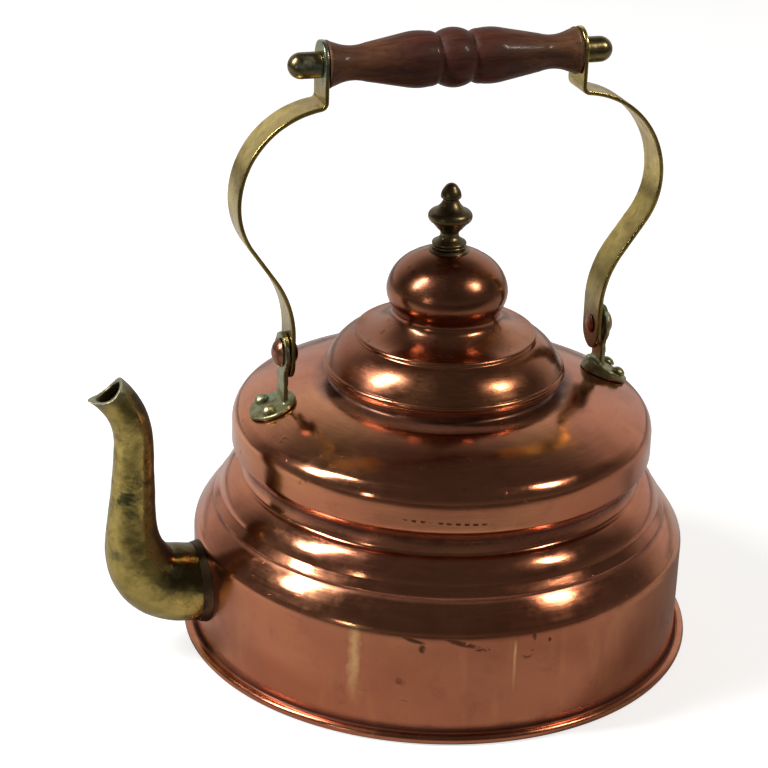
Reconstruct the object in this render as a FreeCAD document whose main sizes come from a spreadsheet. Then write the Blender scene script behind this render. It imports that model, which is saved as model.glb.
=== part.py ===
import FreeCAD, Part
import Sketcher
import math
import os
from FreeCAD import Vector, Rotation, Placement

# A copper stove kettle. Frame: origin at the middle of the flat base, on the surface it
# stands on; +Z up; the spout points to -X; the bail stands in the XZ plane and swings
# about a line parallel to X through its two pivot rivets. Millimetres.

doc = FreeCAD.newDocument("kettle")
sheet = doc.addObject("Spreadsheet::Sheet", "Dims")

DIMS = [
    # body shell, outer surface
    ("gauge", 1.2, "copper sheet of the body"),
    ("wall_radius", 95.95, "outside of the straight wall"),
    ("wall_top", 40.0, "top of the straight wall"),
    ("shoulder_edge_radius", 94.2, "lower shoulder, outer end of its slope"),
    ("shoulder_edge_height", 45.6, ""),
    ("ring_radius", 88.3, "foot of the middle ring"),
    ("ring_foot", 54.4, ""),
    ("ring_edge_radius", 85.8, "edge of the middle ring"),
    ("ring_edge_height", 57.6, ""),
    ("waist_radius", 77.6, "foot of the waist band above the ring"),
    ("waist_foot", 67.2, ""),
    ("crease_radius", 76.6, "crease under the bulge"),
    ("crease_height", 71.0, ""),
    ("bulge_radius", 81.3, "upper bulge"),
    ("bulge_foot", 78.0, ""),
    ("bulge_top", 85.0, ""),
    ("crown_radius", 78.0, "upper shoulder, outer end"),
    ("crown_height", 92.9, ""),
    ("crown_mid_radius", 63.5, ""),
    ("crown_mid_height", 99.2, ""),
    ("collar_radius", 43.2, "outside of the mouth collar"),
    ("collar_foot", 102.8, "upper shoulder where the collar starts"),
    ("collar_top", 107.3, "top of the out-turned mouth rim"),
    ("mouth_rim_radius", 45.4, "outside of the out-turned rim"),
    # foot seam
    ("plate_gauge", 1.2, "base disc"),
    ("bead_radius", 100.0, "outside of the folded foot seam"),
    ("foot_flange_radius", 98.9, "foot flange of the shell inside the seam"),
    ("lip_radius", 97.35, "inner edge of the folded lip"),
    # spout
    ("spout_height", 27.2, "spout axis at the wall"),
    ("spout_radius", 15.2, "outside of the spout at the wall"),
    ("spout_wall", 1.5, "spout wall"),
    ("spout_lip", 2.1, "wall at the lip of the beak"),
    ("spout_hole_radius", 13.3, "hole in the body wall"),
    ("solder_leg", 1.0, "solder fillet"),
    # lugs and pivots
    ("pivot_height", 119.6, "bail pivot above the base"),
    ("spout_side_foot_out", 67.9, "middle of the spout-side lug foot from the kettle axis"),
    ("spout_side_foot_tilt", 22.5, "its tilt, degrees"),
    ("spout_side_foot_edge", 1.5, "its thickness at the edge"),
    ("back_foot_out", 66.8, "middle of the back lug foot from the kettle axis"),
    ("back_foot_tilt", 32.0, "its tilt, degrees: this one was hammered on steeper"),
    ("back_foot_edge", 3.2, "its thickness at the edge"),
    ("lug_foot_radius", 9.5, "lug foot disc"),
    ("lug_plate_inner", 63.05, "inboard face of the eye plate"),
    ("lug_plate_gauge", 2.2, "eye plate"),
    ("eye_radius", 8.0, "eye plate"),
    ("neck_half", 5.0, "half width of the neck under the eye"),
    ("pin_radius", 2.5, "pivot rivet shank"),
    ("pin_head_radius", 5.6, "pivot rivet head"),
    ("pin_head_height", 3.4, ""),
    ("pin_tail_radius", 3.9, "closed end of the pivot rivet"),
    ("strap_hole_radius", 2.56, "bail hole that turns on the pivot rivet"),
    ("foot_rivet_radius", 1.5, ""),
    ("foot_rivet_head", 2.8, ""),
    ("foot_rivet_spread", 5.2, "foot rivets either side of the middle"),
    ("foot_rivet_out", 2.4, "foot rivets outboard of the foot's middle"),
    # bail
    ("strap_gauge", 1.7, "strap thickness"),
    ("strap_width", 15.2, "strap width"),
    ("strap_leg", 61.35, "middle of the strap at the pivot"),
    ("belly", 82.35, "middle of the strap at its widest"),
    ("strap_end", 109.8, "lower end of the strap"),
    ("spout_side_tab", 50.4, "middle of the upright tab, spout side"),
    ("back_tab", 48.6, "middle of the upright tab, back: bent a little closer in"),
    ("tab_top", 238.4, "top of the upright tab"),
    ("grip_height", 229.4, "grip axis above the base"),
    ("bail_shift", -0.7, "the bail rests this far along X within its side play"),
    ("grip_shift", -1.6, "middle of the grip along X, midway between the tabs"),
    ("rod_radius", 2.5, "handle rod"),
    ("rod_half", 58.0, "half length of the rod"),
    ("nut_radius", 4.85, "dome nut"),
    ("nut_straight", 7.0, "straight part of the dome nut"),
    ("grip_half", 48.35, "half length of the grip"),
    ("grip_bore", 2.8, "bore of the grip"),
    ("grip_end_radius", 8.8, ""),
    ("grip_neck_radius", 6.35, ""),
    ("grip_bulge_radius", 10.4, ""),
    ("grip_bead_radius", 11.0, ""),
    ("grip_groove_radius", 8.95, ""),
    # lid
    ("lid_gauge", 1.0, "copper sheet of the lid"),
    ("brim_radius", 46.4, ""),
    ("brim_height", 107.4, "underside of the brim"),
    ("lid_ring_radius", 44.6, "foot of the lid's ring"),
    ("lid_ring_height", 111.4, ""),
    ("bell_radius", 35.0, "edge of the bell"),
    ("bell_height", 121.0, ""),
    ("neck_radius", 20.46, "neck under the ball, at its smallest"),
    ("neck_height", 130.42, ""),
    ("ball_radius", 23.1, ""),
    ("ball_height", 139.9, ""),
    ("seat_height", 155.2, "flat seat for the knob"),
    ("sleeve_radius", 41.7, "outside of the sleeve"),
    ("sleeve_gauge", 0.8, ""),
    ("sleeve_foot", 95.4, ""),
    ("stud_radius", 2.0, ""),
]
VAL = {}
for n, (alias, value, note) in enumerate(DIMS):
    cell = "A%d" % (n + 1)
    sheet.set(cell, str(value))
    sheet.setAlias(cell, alias)
    if note:
        sheet.set("B%d" % (n + 1), note)
    VAL[alias] = float(value)
doc.recompute()


class Lin:
    """A sum of sheet cells times plain factors, plus a constant."""

    def __init__(self, terms, const=0.0):
        self.terms = dict(terms)
        self.const = float(const)

    def __add__(self, other):
        if isinstance(other, Lin):
            terms = dict(self.terms)
            for key, k in other.terms.items():
                terms[key] = terms.get(key, 0.0) + k
            return Lin(terms, self.const + other.const)
        return Lin(self.terms, self.const + other)

    def __sub__(self, other):
        if isinstance(other, Lin):
            return self + other * -1.0
        return Lin(self.terms, self.const - other)

    def __mul__(self, k):
        return Lin({a: b * k for a, b in self.terms.items()}, self.const * k)

    def value(self):
        return sum(VAL[a] * k for a, k in self.terms.items()) + self.const

    def text(self):
        out = "%.6f" % self.const
        for a, k in self.terms.items():
            if abs(k) > 1e-12:
                out += " %s %.6f * Dims.%s" % ("+" if k >= 0 else "-", abs(k), a)
        return out


def D(alias, const=0.0):
    return Lin({alias: 1.0}, const)


def val(v):
    return v.value() if isinstance(v, Lin) else float(v)


def circle3(a, b, c):
    (x0, y0), (x1, y1), (x2, y2) = a, b, c
    d = 2 * (x0 * (y1 - y2) + x1 * (y2 - y0) + x2 * (y0 - y1))
    cx = ((x0 ** 2 + y0 ** 2) * (y1 - y2) + (x1 ** 2 + y1 ** 2) * (y2 - y0)
          + (x2 ** 2 + y2 ** 2) * (y0 - y1)) / d
    cy = ((x0 ** 2 + y0 ** 2) * (x2 - x1) + (x1 ** 2 + y1 ** 2) * (x0 - x2)
          + (x2 ** 2 + y2 ** 2) * (x1 - x0)) / d
    return cx, cy, math.hypot(x0 - cx, y0 - cy)


def turn_left(a, b, c):
    return (b[0] - a[0]) * (c[1] - b[1]) - (b[1] - a[1]) * (c[0] - b[0]) > 0


def pt(p):
    return (val(p[0]), val(p[1]))


# A chain is a start point followed by ("L", end), ("A", middle, end) or ("O", end) pieces.
# "O" is a dome: an arc that meets the axis square on, so its centre is on the axis.
def dome_centre(a, b):
    (r, z1), (_, z2) = (a, b) if abs(b[0]) < 1e-9 else (b, a)
    zc = (z2 ** 2 - z1 ** 2 - r ** 2) / (2 * (z2 - z1))
    return 0.0, zc, abs(z2 - zc)


def chain_nodes(chain):
    """Start, end and kind of every piece, with the left-hand normals at both ends."""
    out = []
    here = chain[0]
    for piece in chain[1:]:
        end = piece[-1]
        a, b = pt(here), pt(end)
        if piece[0] == "L":
            k = math.hypot(b[0] - a[0], b[1] - a[1])
            nrm = (-(b[1] - a[1]) / k, (b[0] - a[0]) / k)
            out.append(("L", here, None, end, nrm, None, nrm))
        else:
            m = pt(piece[1])
            cx, cy, r = circle3(a, m, b)
            s = 1.0 if turn_left(a, m, b) else -1.0
            f = lambda q: (s * (cx - q[0]) / r, s * (cy - q[1]) / r)
            out.append(("A", here, piece[1], end, f(a), f(m), f(b)))
        here = end
    return out


def shifted(p, nrm, gauge, side):
    gx = gauge * (side * nrm[0]) if isinstance(gauge, Lin) else gauge * side * nrm[0]
    gz = gauge * (side * nrm[1]) if isinstance(gauge, Lin) else gauge * side * nrm[1]
    x = p[0] if isinstance(p[0], Lin) else Lin({}, p[0])
    z = p[1] if isinstance(p[1], Lin) else Lin({}, p[1])
    return (x + gx, z + gz)


def offset_chain(chain, gauge, side):
    """The chain moved by gauge to its left (side 1) or right (side -1), corners mitred."""
    segs = chain_nodes(chain)
    out = [shifted(chain[0], segs[0][4], gauge, side)]
    for i, seg in enumerate(segs):
        n1 = seg[6]
        n2 = segs[i + 1][4] if i + 1 < len(segs) else n1
        dot = n1[0] * n2[0] + n1[1] * n2[1]
        mitre = ((n1[0] + n2[0]) / (1 + dot), (n1[1] + n2[1]) / (1 + dot))
        end = shifted(seg[3], mitre, gauge, side)
        if seg[0] == "L":
            out.append(("L", end))
        else:
            out.append(("A", shifted(seg[2], seg[5], gauge, side), end))
    return out


def reverse_chain(chain):
    pts = [chain[0]] + [p[-1] for p in chain[1:]]
    out = [pts[-1]]
    for i in range(len(chain) - 1, 0, -1):
        piece = chain[i]
        if piece[0] == "L":
            out.append(("L", pts[i - 1]))
        else:
            out.append(("A", piece[1], pts[i - 1]))
    return out


def sheet_profile(chain, gauge, side):
    """Closed profile of a sheet of this gauge along the chain."""
    other = reverse_chain(offset_chain(chain, gauge, side))
    return list(chain) + [("L", other[0])] + other[1:] + [("L", chain[0])]


def plane_of(body, role):
    for f in body.Origin.OriginFeatures:
        if f.Role == role:
            return f
    raise RuntimeError(role)


def sketch_on(body, name, chain, role="XZ_Plane"):
    """A sketch of a closed chain with every vertex bound to the sheet."""
    sk = body.newObject("Sketcher::SketchObject", name)
    sk.AttachmentSupport = [(plane_of(body, role), "")]
    sk.MapMode = "FlatFace"
    geos, ends, binds = [], [], []
    here = chain[0]
    for piece in chain[1:]:
        end = piece[-1]
        a, b = pt(here), pt(end)
        if piece[0] == "L":
            geos.append(Part.LineSegment(Vector(a[0], a[1], 0), Vector(b[0], b[1], 0)))
            ends.append((1, 2, None))
        else:
            if piece[0] == "O":
                cx, cy, r = dome_centre(a, b)
                # a quarter turn or less: the middle lies between the two ends
                mx, my = a[0] + b[0] - 2 * cx, a[1] + b[1] - 2 * cy
                k = r / math.hypot(mx, my)
                m = (cx + mx * k, cy + my * k)
            else:
                m = pt(piece[1])
                cx, cy, r = circle3(a, m, b)
            ccw = turn_left(a, m, b)
            s, e = (a, b) if ccw else (b, a)
            a0 = math.atan2(s[1] - cy, s[0] - cx)
            a1 = math.atan2(e[1] - cy, e[0] - cx)
            while a1 <= a0:
                a1 += 2 * math.pi
            circ = Part.Circle(Vector(cx, cy, 0), Vector(0, 0, 1), r)
            geos.append(Part.ArcOfCircle(circ, a0, a1))
            mid = "axis" if piece[0] == "O" else piece[1]
            ends.append((1, 2, mid) if ccw else (2, 1, mid))
        binds.append(here)
        here = end
    sk.addGeometry(geos, False)
    cons, exprs = [], []
    n = len(geos)

    def place(geo, pos, p):
        for axis, v in (("X", p[0]), ("Y", p[1])):
            x = val(v)
            if abs(x) < 1e-9:
                cons.append(Sketcher.Constraint("PointOnObject", geo, pos, -2 if axis == "X" else -1))
                exprs.append(None)
            else:
                if x > 0:
                    cons.append(Sketcher.Constraint("Distance" + axis, -1, 1, geo, pos, x))
                    exprs.append(v if isinstance(v, Lin) and v.terms else None)
                else:
                    cons.append(Sketcher.Constraint("Distance" + axis, geo, pos, -1, 1, -x))
                    exprs.append(v * -1.0 if isinstance(v, Lin) and v.terms else None)

    for i in range(n):
        prev = (i - 1) % n
        cons.append(Sketcher.Constraint("Coincident", prev, ends[prev][1], i, ends[i][0]))
        exprs.append(None)
        place(i, ends[i][0], binds[i])
    for i, e in enumerate(ends):
        if e[2] == "axis":
            cons.append(Sketcher.Constraint("PointOnObject", i, 3, -2))
            exprs.append(None)
    mids = [(i, e[2]) for i, e in enumerate(ends) if e[2] not in (None, "axis")]
    if mids:
        sk.addGeometry([Part.Point(Vector(pt(m)[0], pt(m)[1], 0)) for _, m in mids], True)
        for k, (i, m) in enumerate(mids):
            place(n + k, 1, m)
            cons.append(Sketcher.Constraint("PointOnObject", n + k, 1, i))
            exprs.append(None)
    sk.addConstraint(cons)
    for k, e in enumerate(exprs):
        if e is not None:
            sk.setExpression("Constraints[%d]" % k, e.text())
    return sk


def revolved(name, chain):
    """A body turned from a closed chain of (radius, height) about its own Z axis."""
    body = doc.addObject("PartDesign::Body", name + "_body")
    sk = sketch_on(body, name + "_profile", chain)
    rev = body.newObject("PartDesign::Revolution", name + "_turned")
    rev.Profile = sk
    rev.ReferenceAxis = (sk, ["V_Axis"])
    rev.Angle = 360.0
    sk.Visibility = False
    return body


def padded(name, chain, length, role="XZ_Plane"):
    """A body padded evenly both ways from a closed chain."""
    body = doc.addObject("PartDesign::Body", name + "_body")
    sk = sketch_on(body, name + "_profile", chain, role)
    pad = body.newObject("PartDesign::Pad", name + "_pad")
    pad.Profile = sk
    pad.Midplane = True
    pad.Length = val(length)
    pad.setExpression("Length", length.text())
    sk.Visibility = False
    return body


def cylinder(name, radius, height, placement, binds=()):
    c = doc.addObject("Part::Cylinder", name)
    c.Radius = val(radius)
    c.Height = val(height)
    if isinstance(radius, Lin):
        c.setExpression("Radius", radius.text())
    if isinstance(height, Lin):
        c.setExpression("Height", height.text())
    c.Placement = placement
    for prop, e in binds:
        c.setExpression(prop, e.text())
    return c


def boolean(kind, name, base, tool):
    b = doc.addObject("Part::" + kind, name)
    b.Base = base
    b.Tool = tool
    return b


def fuse_all(name, shapes):
    f = doc.addObject("Part::MultiFuse", name)
    f.Shapes = shapes
    return f


def feature(name, shape):
    f = doc.addObject("Part::Feature", name)
    f.Shape = shape
    return f


def turned_shape(chain):
    """The same turned solid as a plain shape, for use as a cutting form."""
    edges = []
    here = chain[0]
    for piece in chain[1:]:
        a, b = pt(here), pt(piece[-1])
        va, vb = Vector(a[0], 0, a[1]), Vector(b[0], 0, b[1])
        if piece[0] == "L":
            edges.append(Part.LineSegment(va, vb).toShape())
        else:
            m = pt(piece[1])
            edges.append(Part.Arc(va, Vector(m[0], 0, m[1]), vb).toShape())
        here = piece[-1]
    return Part.Face(Part.Wire(edges)).revolve(Vector(0, 0, 0), Vector(0, 0, 1), 360)


PARTS = []


def node(obj, label):
    obj.Label = label
    PARTS.append(obj)
    return obj


TURN = {"spout_side": Placement(Vector(0, 0, 0), Rotation(Vector(0, 0, 1), 180)),
        "back": Placement()}
SHIFT = Placement(Vector(VAL["bail_shift"], 0, 0), Rotation())

# ---------------------------------------------------------------- body shell
# Outer surface of the sheet, from the rim of the mouth down to the foot flange.
G = D("gauge")
shell_outer = [
    (D("mouth_rim_radius"), D("collar_top") - G),
    ("L", (D("collar_radius", 1.0), D("collar_top") - G)),
    ("A", (D("collar_radius", 0.2929), D("collar_top", -0.2929) - G),
     (D("collar_radius"), D("collar_top", -1.0) - G)),
    ("L", (D("collar_radius"), D("collar_foot", 1.4))),
    ("A", (D("collar_radius", 0.43), D("collar_foot", 0.36)),
     (D("collar_radius", 1.5), D("collar_foot", -0.05))),
    ("A", (D("crown_mid_radius"), D("crown_mid_height")), (D("crown_radius"), D("crown_height"))),
    ("A", (D("bulge_radius", -0.85), D("bulge_top", 4.75)), (D("bulge_radius"), D("bulge_top"))),
    ("L", (D("bulge_radius"), D("bulge_foot"))),
    ("A", (D("bulge_radius", -0.126), D("bulge_foot", -0.783)),
     (D("bulge_radius", -0.49), D("bulge_foot", -1.487))),
    ("L", (D("crease_radius"), D("crease_height"))),
    ("L", (D("waist_radius"), D("waist_foot"))),
    ("A", (D("waist_radius", 0.5), D("waist_foot", -0.85)),
     (D("waist_radius", 1.4), D("waist_foot", -1.3))),
    ("A", (D("ring_edge_radius", -2.85), D("ring_edge_height", 5.1)),
     (D("ring_edge_radius"), D("ring_edge_height"))),
    ("L", (D("ring_radius"), D("ring_foot"))),
    ("L", (D("ring_radius", -0.3), D("ring_foot", -1.1))),
    ("A", (D("shoulder_edge_radius", -2.55), D("shoulder_edge_height", 3.75)),
     (D("shoulder_edge_radius"), D("shoulder_edge_height"))),
    ("A", (D("wall_radius", -0.45), D("wall_top", 3.25)), (D("wall_radius"), D("wall_top"))),
    ("L", (D("wall_radius"), D("plate_gauge", 1.2) + G)),
    ("A", (D("wall_radius", 0.3515), D("plate_gauge", 0.3515) + G),
     (D("wall_radius", 1.2), D("plate_gauge") + G)),
    ("L", (D("foot_flange_radius"), D("plate_gauge") + G)),
]
shell_turned = revolved("body_shell", sheet_profile(shell_outer, G, -1))

# The solid envelope of the shell, used to seat the spout, the lugs and the rivets.
envelope = turned_shape(
    [(0, D("collar_foot", -0.05))] + [("L", shell_outer[4][-1])] + shell_outer[5:18]
    + [("L", (D("wall_radius"), 2.0)), ("L", (0, 2.0)), ("L", (0, D("collar_foot", -0.05)))])


def crown_point(radius):
    """Height and outward slope angle of the upper shoulder at this radius."""
    a = pt(shell_outer[4][-1])
    m = (VAL["crown_mid_radius"], VAL["crown_mid_height"])
    b = (VAL["crown_radius"], VAL["crown_height"])
    cx, cy, r = circle3(a, m, b)
    z = cy + math.sqrt(r * r - (radius - cx) ** 2)
    return z, math.degrees(math.asin((radius - cx) / r))


# ---------------------------------------------------------------- spout hole
spout_hole = cylinder("spout_hole", D("spout_hole_radius"), 20.0,
                      Placement(Vector(-105, 0, VAL["spout_height"]), Rotation(Vector(0, 1, 0), 90)),
                      [("Placement.Base.z", D("spout_height"))])

# ---------------------------------------------------------------- lugs and their rivets
def on_lug(side, u, v, w):
    """Placement on the lug foot: u outboard along the slope, v along Y, w off the shoulder."""
    out = VAL[side + "_foot_out"]
    foot = Placement(Vector(out, 0, crown_point(out)[0]),
                     Rotation(Vector(0, 1, 0), VAL[side + "_foot_tilt"]))
    return TURN[side].multiply(foot).multiply(Placement(Vector(u, v, w), Rotation()))


rivet_holes = []
for side in ("spout_side", "back"):
    for i, s in enumerate((-1, 1)):
        rivet_holes.append(cylinder(
            "%s_foot_hole_%d" % (side, i + 1), D("foot_rivet_radius"), 16.0,
            on_lug(side, VAL["foot_rivet_out"], s * VAL["foot_rivet_spread"], -8.0)))

holes = fuse_all("shell_holes", [spout_hole] + rivet_holes)
body_shell = node(boolean("Cut", "body_shell_holed", shell_turned, holes), "body_shell")
doc.recompute()

# ---------------------------------------------------------------- bottom plate
# A disc whose edge is folded up round the foot flange and back over it.
PG = D("plate_gauge")
half = 0.5  # of the folded height
bead_h = PG * 2.0 + G
bottom_plate = node(revolved("bottom_plate", [
    (0, 0),
    ("L", (D("bead_radius") - PG - G * 0.5, 0)),
    ("A", (D("bead_radius") - (PG + G * 0.5) * 0.2929, (PG + G * 0.5) * 0.2929),
     (D("bead_radius"), PG + G * 0.5)),
    ("A", (D("bead_radius") - (PG + G * 0.5) * 0.2929, PG + G * 0.5 + (PG + G * 0.5) * 0.7071),
     (D("bead_radius") - PG - G * 0.5, bead_h)),
    ("L", (D("lip_radius"), bead_h)),
    ("L", (D("lip_radius"), PG + G)),
    ("L", (D("foot_flange_radius"), PG + G)),
    ("L", (D("foot_flange_radius"), PG)),
    ("L", (0, PG)),
    ("L", (0, 0)),
]), "bottom_plate")

# ---------------------------------------------------------------- spout
# Cross-sections along the swan neck: middle (x, z), heading in degrees from -X towards +Z,
# half size in the XZ plane and half size along Y.
RS = VAL["spout_radius"]
SECTIONS = [
    (-88.0, VAL["spout_height"], 0, RS, RS),
    (-97.0, VAL["spout_height"], 0, RS, RS),
    (-104.5, 27.9, 9, RS - 0.05, RS - 0.05),
    (-111.5, 30.1, 26, 14.7, 14.8),
    (-117.6, 34.8, 49, 13.4, 13.8),
    (-121.2, 41.9, 69, 11.9, 12.3),
    (-122.5, 50.0, 84, 10.3, 10.6),
    (-122.4, 59.0, 90, 9.15, 9.3),
    (-121.9, 70.0, 91, 8.35, 8.4),
    (-121.5, 80.0, 91, 7.8, 7.8),
    (-121.3, 88.5, 89, 7.5, 7.5),
    (-122.1, 95.5, 79, 7.4, 7.4),
    (-124.6, 102.4, 62, 7.3, 7.0),
    (-128.3, 107.8, 51, 7.25, 6.4),
    (-132.6, 112.2, 43, 7.3, 5.8),
    (-138.4, 117.0, 38, 7.4, 5.4),
]


def spout_solid(shrink):
    wires = []
    for x, z, ang, a, b in SECTIONS:
        c, s = math.cos(math.radians(ang)), math.sin(math.radians(ang))
        across = Vector(s, 0, c)      # in the XZ plane, square to the heading
        # the bore narrows towards the beak, which has a thicker lip
        share = min(1.0, max(0.0, (-126.0 - x) / 6.0)) if shrink else 0.0
        wall = shrink + share * (VAL["spout_lip"] - VAL["spout_wall"])
        pts = []
        for k in range(24):
            t = 2 * math.pi * k / 24
            pts.append(Vector(x, 0, z) + across * ((a - wall) * math.cos(t))
                       + Vector(0, (b - wall) * math.sin(t), 0))
        spline = Part.BSplineCurve()
        spline.interpolate(Points=pts, PeriodicFlag=True)
        wires.append(Part.Wire(spline.toShape()))
    return Part.makeLoft(wires, True, False)


# The mouth is cut along a dipping side profile: long lower lip, high back.
beak = [(-141.5, 108.6), (-139.3, 107.9), (-135.6, 107.6), (-131.6, 108.5),
        (-128.7, 110.7), (-127.0, 112.9), (-125.6, 115.5), (-122.0, 125.0), (-150.0, 125.0)]
beak_curve = Part.BSplineCurve()
beak_curve.interpolate(Points=[Vector(x, -20, z) for x, z in beak[:7]])
beak_wire = Part.Wire([beak_curve.toShape()]
                      + [Part.LineSegment(Vector(p[0], -20, p[1]), Vector(q[0], -20, q[1])).toShape()
                         for p, q in zip(beak[6:], beak[7:] + beak[:1])])
beak_cut = Part.Face(beak_wire).extrude(Vector(0, 40, 0))
spout_outer = spout_solid(0.0)
spout_inner = spout_solid(VAL["spout_wall"])
spout_shape = spout_outer.cut(spout_inner).cut(envelope).cut(beak_cut)
spout_shape = sorted(spout_shape.Solids, key=lambda q: -q.Volume)[0]
spout = node(feature("spout_cast", spout_shape), "spout")

# ---------------------------------------------------------------- solder round the spout
leg = VAL["solder_leg"]
R1 = VAL["spout_radius"]
cone = Part.makeCone(R1 + leg + 0.4, R1 + 0.15, 5.2, Vector(-93.2, 0, VAL["spout_height"]),
                     Vector(-1, 0, 0))
spout_solder = node(feature("spout_solder_fillet", cone.cut(spout_outer).cut(envelope)), "spout_solder")

# ---------------------------------------------------------------- lugs
eye_z = D("pivot_height")
ER, NH = VAL["eye_radius"], VAL["neck_half"]
fil = 5.0
dy = NH + fil
dz = math.sqrt((ER + fil) ** 2 - dy ** 2)
tan_y, tan_z = ER / (ER + fil) * dy, ER / (ER + fil) * dz
bl = math.atan2(dz, -dy)
mid_y, mid_z = dy + fil * math.cos((math.pi + bl) / 2), -dz + fil * math.sin((math.pi + bl) / 2)
lug_bits = {}
for side in ("spout_side", "back"):
    plate = doc.addObject("PartDesign::Body", side + "_eye_body")
    outline = [
        (-NH, D("pivot_height", -26.0)),
        ("L", (NH, D("pivot_height", -26.0))),
        ("L", (NH, D("pivot_height", -dz))),
        ("A", (mid_y, D("pivot_height", mid_z)), (tan_y, D("pivot_height", -tan_z))),
        ("A", (0, D("pivot_height") + D("eye_radius")), (-tan_y, D("pivot_height", -tan_z))),
        ("A", (-mid_y, D("pivot_height", mid_z)), (-NH, D("pivot_height", -dz))),
        ("L", (-NH, D("pivot_height", -26.0))),
    ]
    sk = sketch_on(plate, side + "_eye_profile", outline, "YZ_Plane")
    pad = plate.newObject("PartDesign::Pad", side + "_eye_pad")
    pad.Profile = sk
    pad.Length = VAL["lug_plate_gauge"]
    pad.setExpression("Length", D("lug_plate_gauge").text())
    plate.Placement = TURN[side].multiply(Placement(Vector(VAL["lug_plate_inner"], 0, 0), Rotation()))
    edge = D(side + "_foot_edge")
    disc = revolved(side + "_lug_foot", [
        (0, -4.5),
        ("L", (D("lug_foot_radius"), -4.5)),
        ("L", (D("lug_foot_radius"), edge - 0.7)),
        ("A", (D("lug_foot_radius", -0.2), edge - 0.2), (D("lug_foot_radius", -0.7), edge)),
        ("O", (0, edge + 0.7)),
        ("L", (0, -4.5)),
    ])
    disc.Placement = on_lug(side, 0, 0, 0)
    lug_bits[side] = (plate, disc)
doc.recompute()

for side in ("spout_side", "back"):
    plate, disc = lug_bits[side]
    turn = TURN[side]
    body = plate.Shape.fuse(disc.Shape).removeSplitter()
    # webs between the plate and the foot
    sgn = 1 if side == "back" else -1
    body = body.cut(envelope)
    pin_hole = Part.makeCylinder(VAL["pin_radius"], 20, Vector(sgn * 55, 0, VAL["pivot_height"]),
                                 Vector(sgn, 0, 0))
    body = body.cut(pin_hole)
    for s in (-1, 1):
        h = Part.makeCylinder(VAL["foot_rivet_radius"], 16.0)
        h.Placement = on_lug(side, VAL["foot_rivet_out"], s * VAL["foot_rivet_spread"], -8.0)
        body = body.cut(h)
    solids = sorted(body.Solids, key=lambda q: -q.Volume)
    node(feature(side + "_lug_cast", solids[0]), side + "_lug")

# ---------------------------------------------------------------- foot rivets
for side in ("spout_side", "back"):
    lug = [p for p in PARTS if p.Label == side + "_lug"][0]
    both = []
    for s in (-1, 1):
        r, rh = VAL["foot_rivet_radius"], VAL["foot_rivet_head"]
        top = VAL[side + "_foot_edge"] + 0.55
        shank = Part.makeCylinder(r, 4.0 + top, Vector(0, 0, -4.0))
        dome = Part.makeSphere(3.3, Vector(0, 0, top - 1.1)).common(
            Part.makeCylinder(rh, 6.0, Vector(0, 0, top - 1.2)))
        tail = Part.makeSphere(2.9, Vector(0, 0, -0.55)).common(
            Part.makeCylinder(2.4, 6.0, Vector(0, 0, -6.4)))
        rivet = shank.fuse(dome).fuse(tail)
        rivet.Placement = on_lug(side, VAL["foot_rivet_out"], s * VAL["foot_rivet_spread"], 0)
        rivet = rivet.cut(lug.Shape).cut(body_shell.Shape)
        solids = sorted(rivet.Solids, key=lambda q: -q.Volume)
        both.append(solids[0])
    node(feature(side + "_foot_rivet_pair", Part.makeCompound(both)), side + "_foot_rivets")

# ---------------------------------------------------------------- pivot rivets
# Turned about Z with the head up, then laid along X with the head outboard.
plate_out = D("lug_plate_inner") + D("lug_plate_gauge")
for side in ("spout_side", "back"):
    tail_top = D("strap_leg", -0.8) - D("strap_gauge") * 0.5   # height along X of the tail's face
    pr = revolved(side + "_pivot_rivet", [
        (0, tail_top - 1.3),
        ("O", (D("pin_tail_radius"), tail_top - 0.25)),
        ("L", (D("pin_tail_radius"), tail_top)),
        ("L", (D("pin_radius"), tail_top)),
        ("L", (D("pin_radius"), plate_out)),
        ("L", (D("pin_head_radius"), plate_out)),
        ("L", (D("pin_head_radius"), plate_out + 0.35)),
        ("O", (0, plate_out + D("pin_head_height"))),
        ("L", (0, tail_top - 1.3)),
    ])
    pr.Placement = TURN[side].multiply(
        Placement(Vector(0, 0, VAL["pivot_height"]), Rotation(Vector(0, 1, 0), 90)))
    pr.setExpression("Placement.Base.z", D("pivot_height").text())
    node(pr, side + "_pivot_rivet")

# ---------------------------------------------------------------- straps
# Middle line of the bent strap on the +X side, bottom to top: a straight leg, a sweep
# outward, a straight run, the belly in two arcs, and a tight bend up into the tab.
SG = D("strap_gauge")


def strap_profile(side):
    tab = D(side + "_tab")
    line = [
        (D("strap_leg"), D("strap_end")),
        ("L", (D("strap_leg"), 127.8)),
        ("A", (D("strap_leg", 1.87), 139.9), (D("strap_leg", 7.32), 150.86)),
        ("L", (D("belly", -5.58), 162.42)),
        ("A", (D("belly", -1.43), 170.78), (D("belly"), 180.0)),
        ("A", (D("belly", -8.81), 203.25), (tab + 2.05, 214.83)),
        ("A", (tab + 0.586, 215.60), (tab, 217.15)),
        ("L", (tab, D("tab_top"))),
    ]
    return sheet_profile(offset_chain(line, SG * 0.5, 1), SG, -1)


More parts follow.
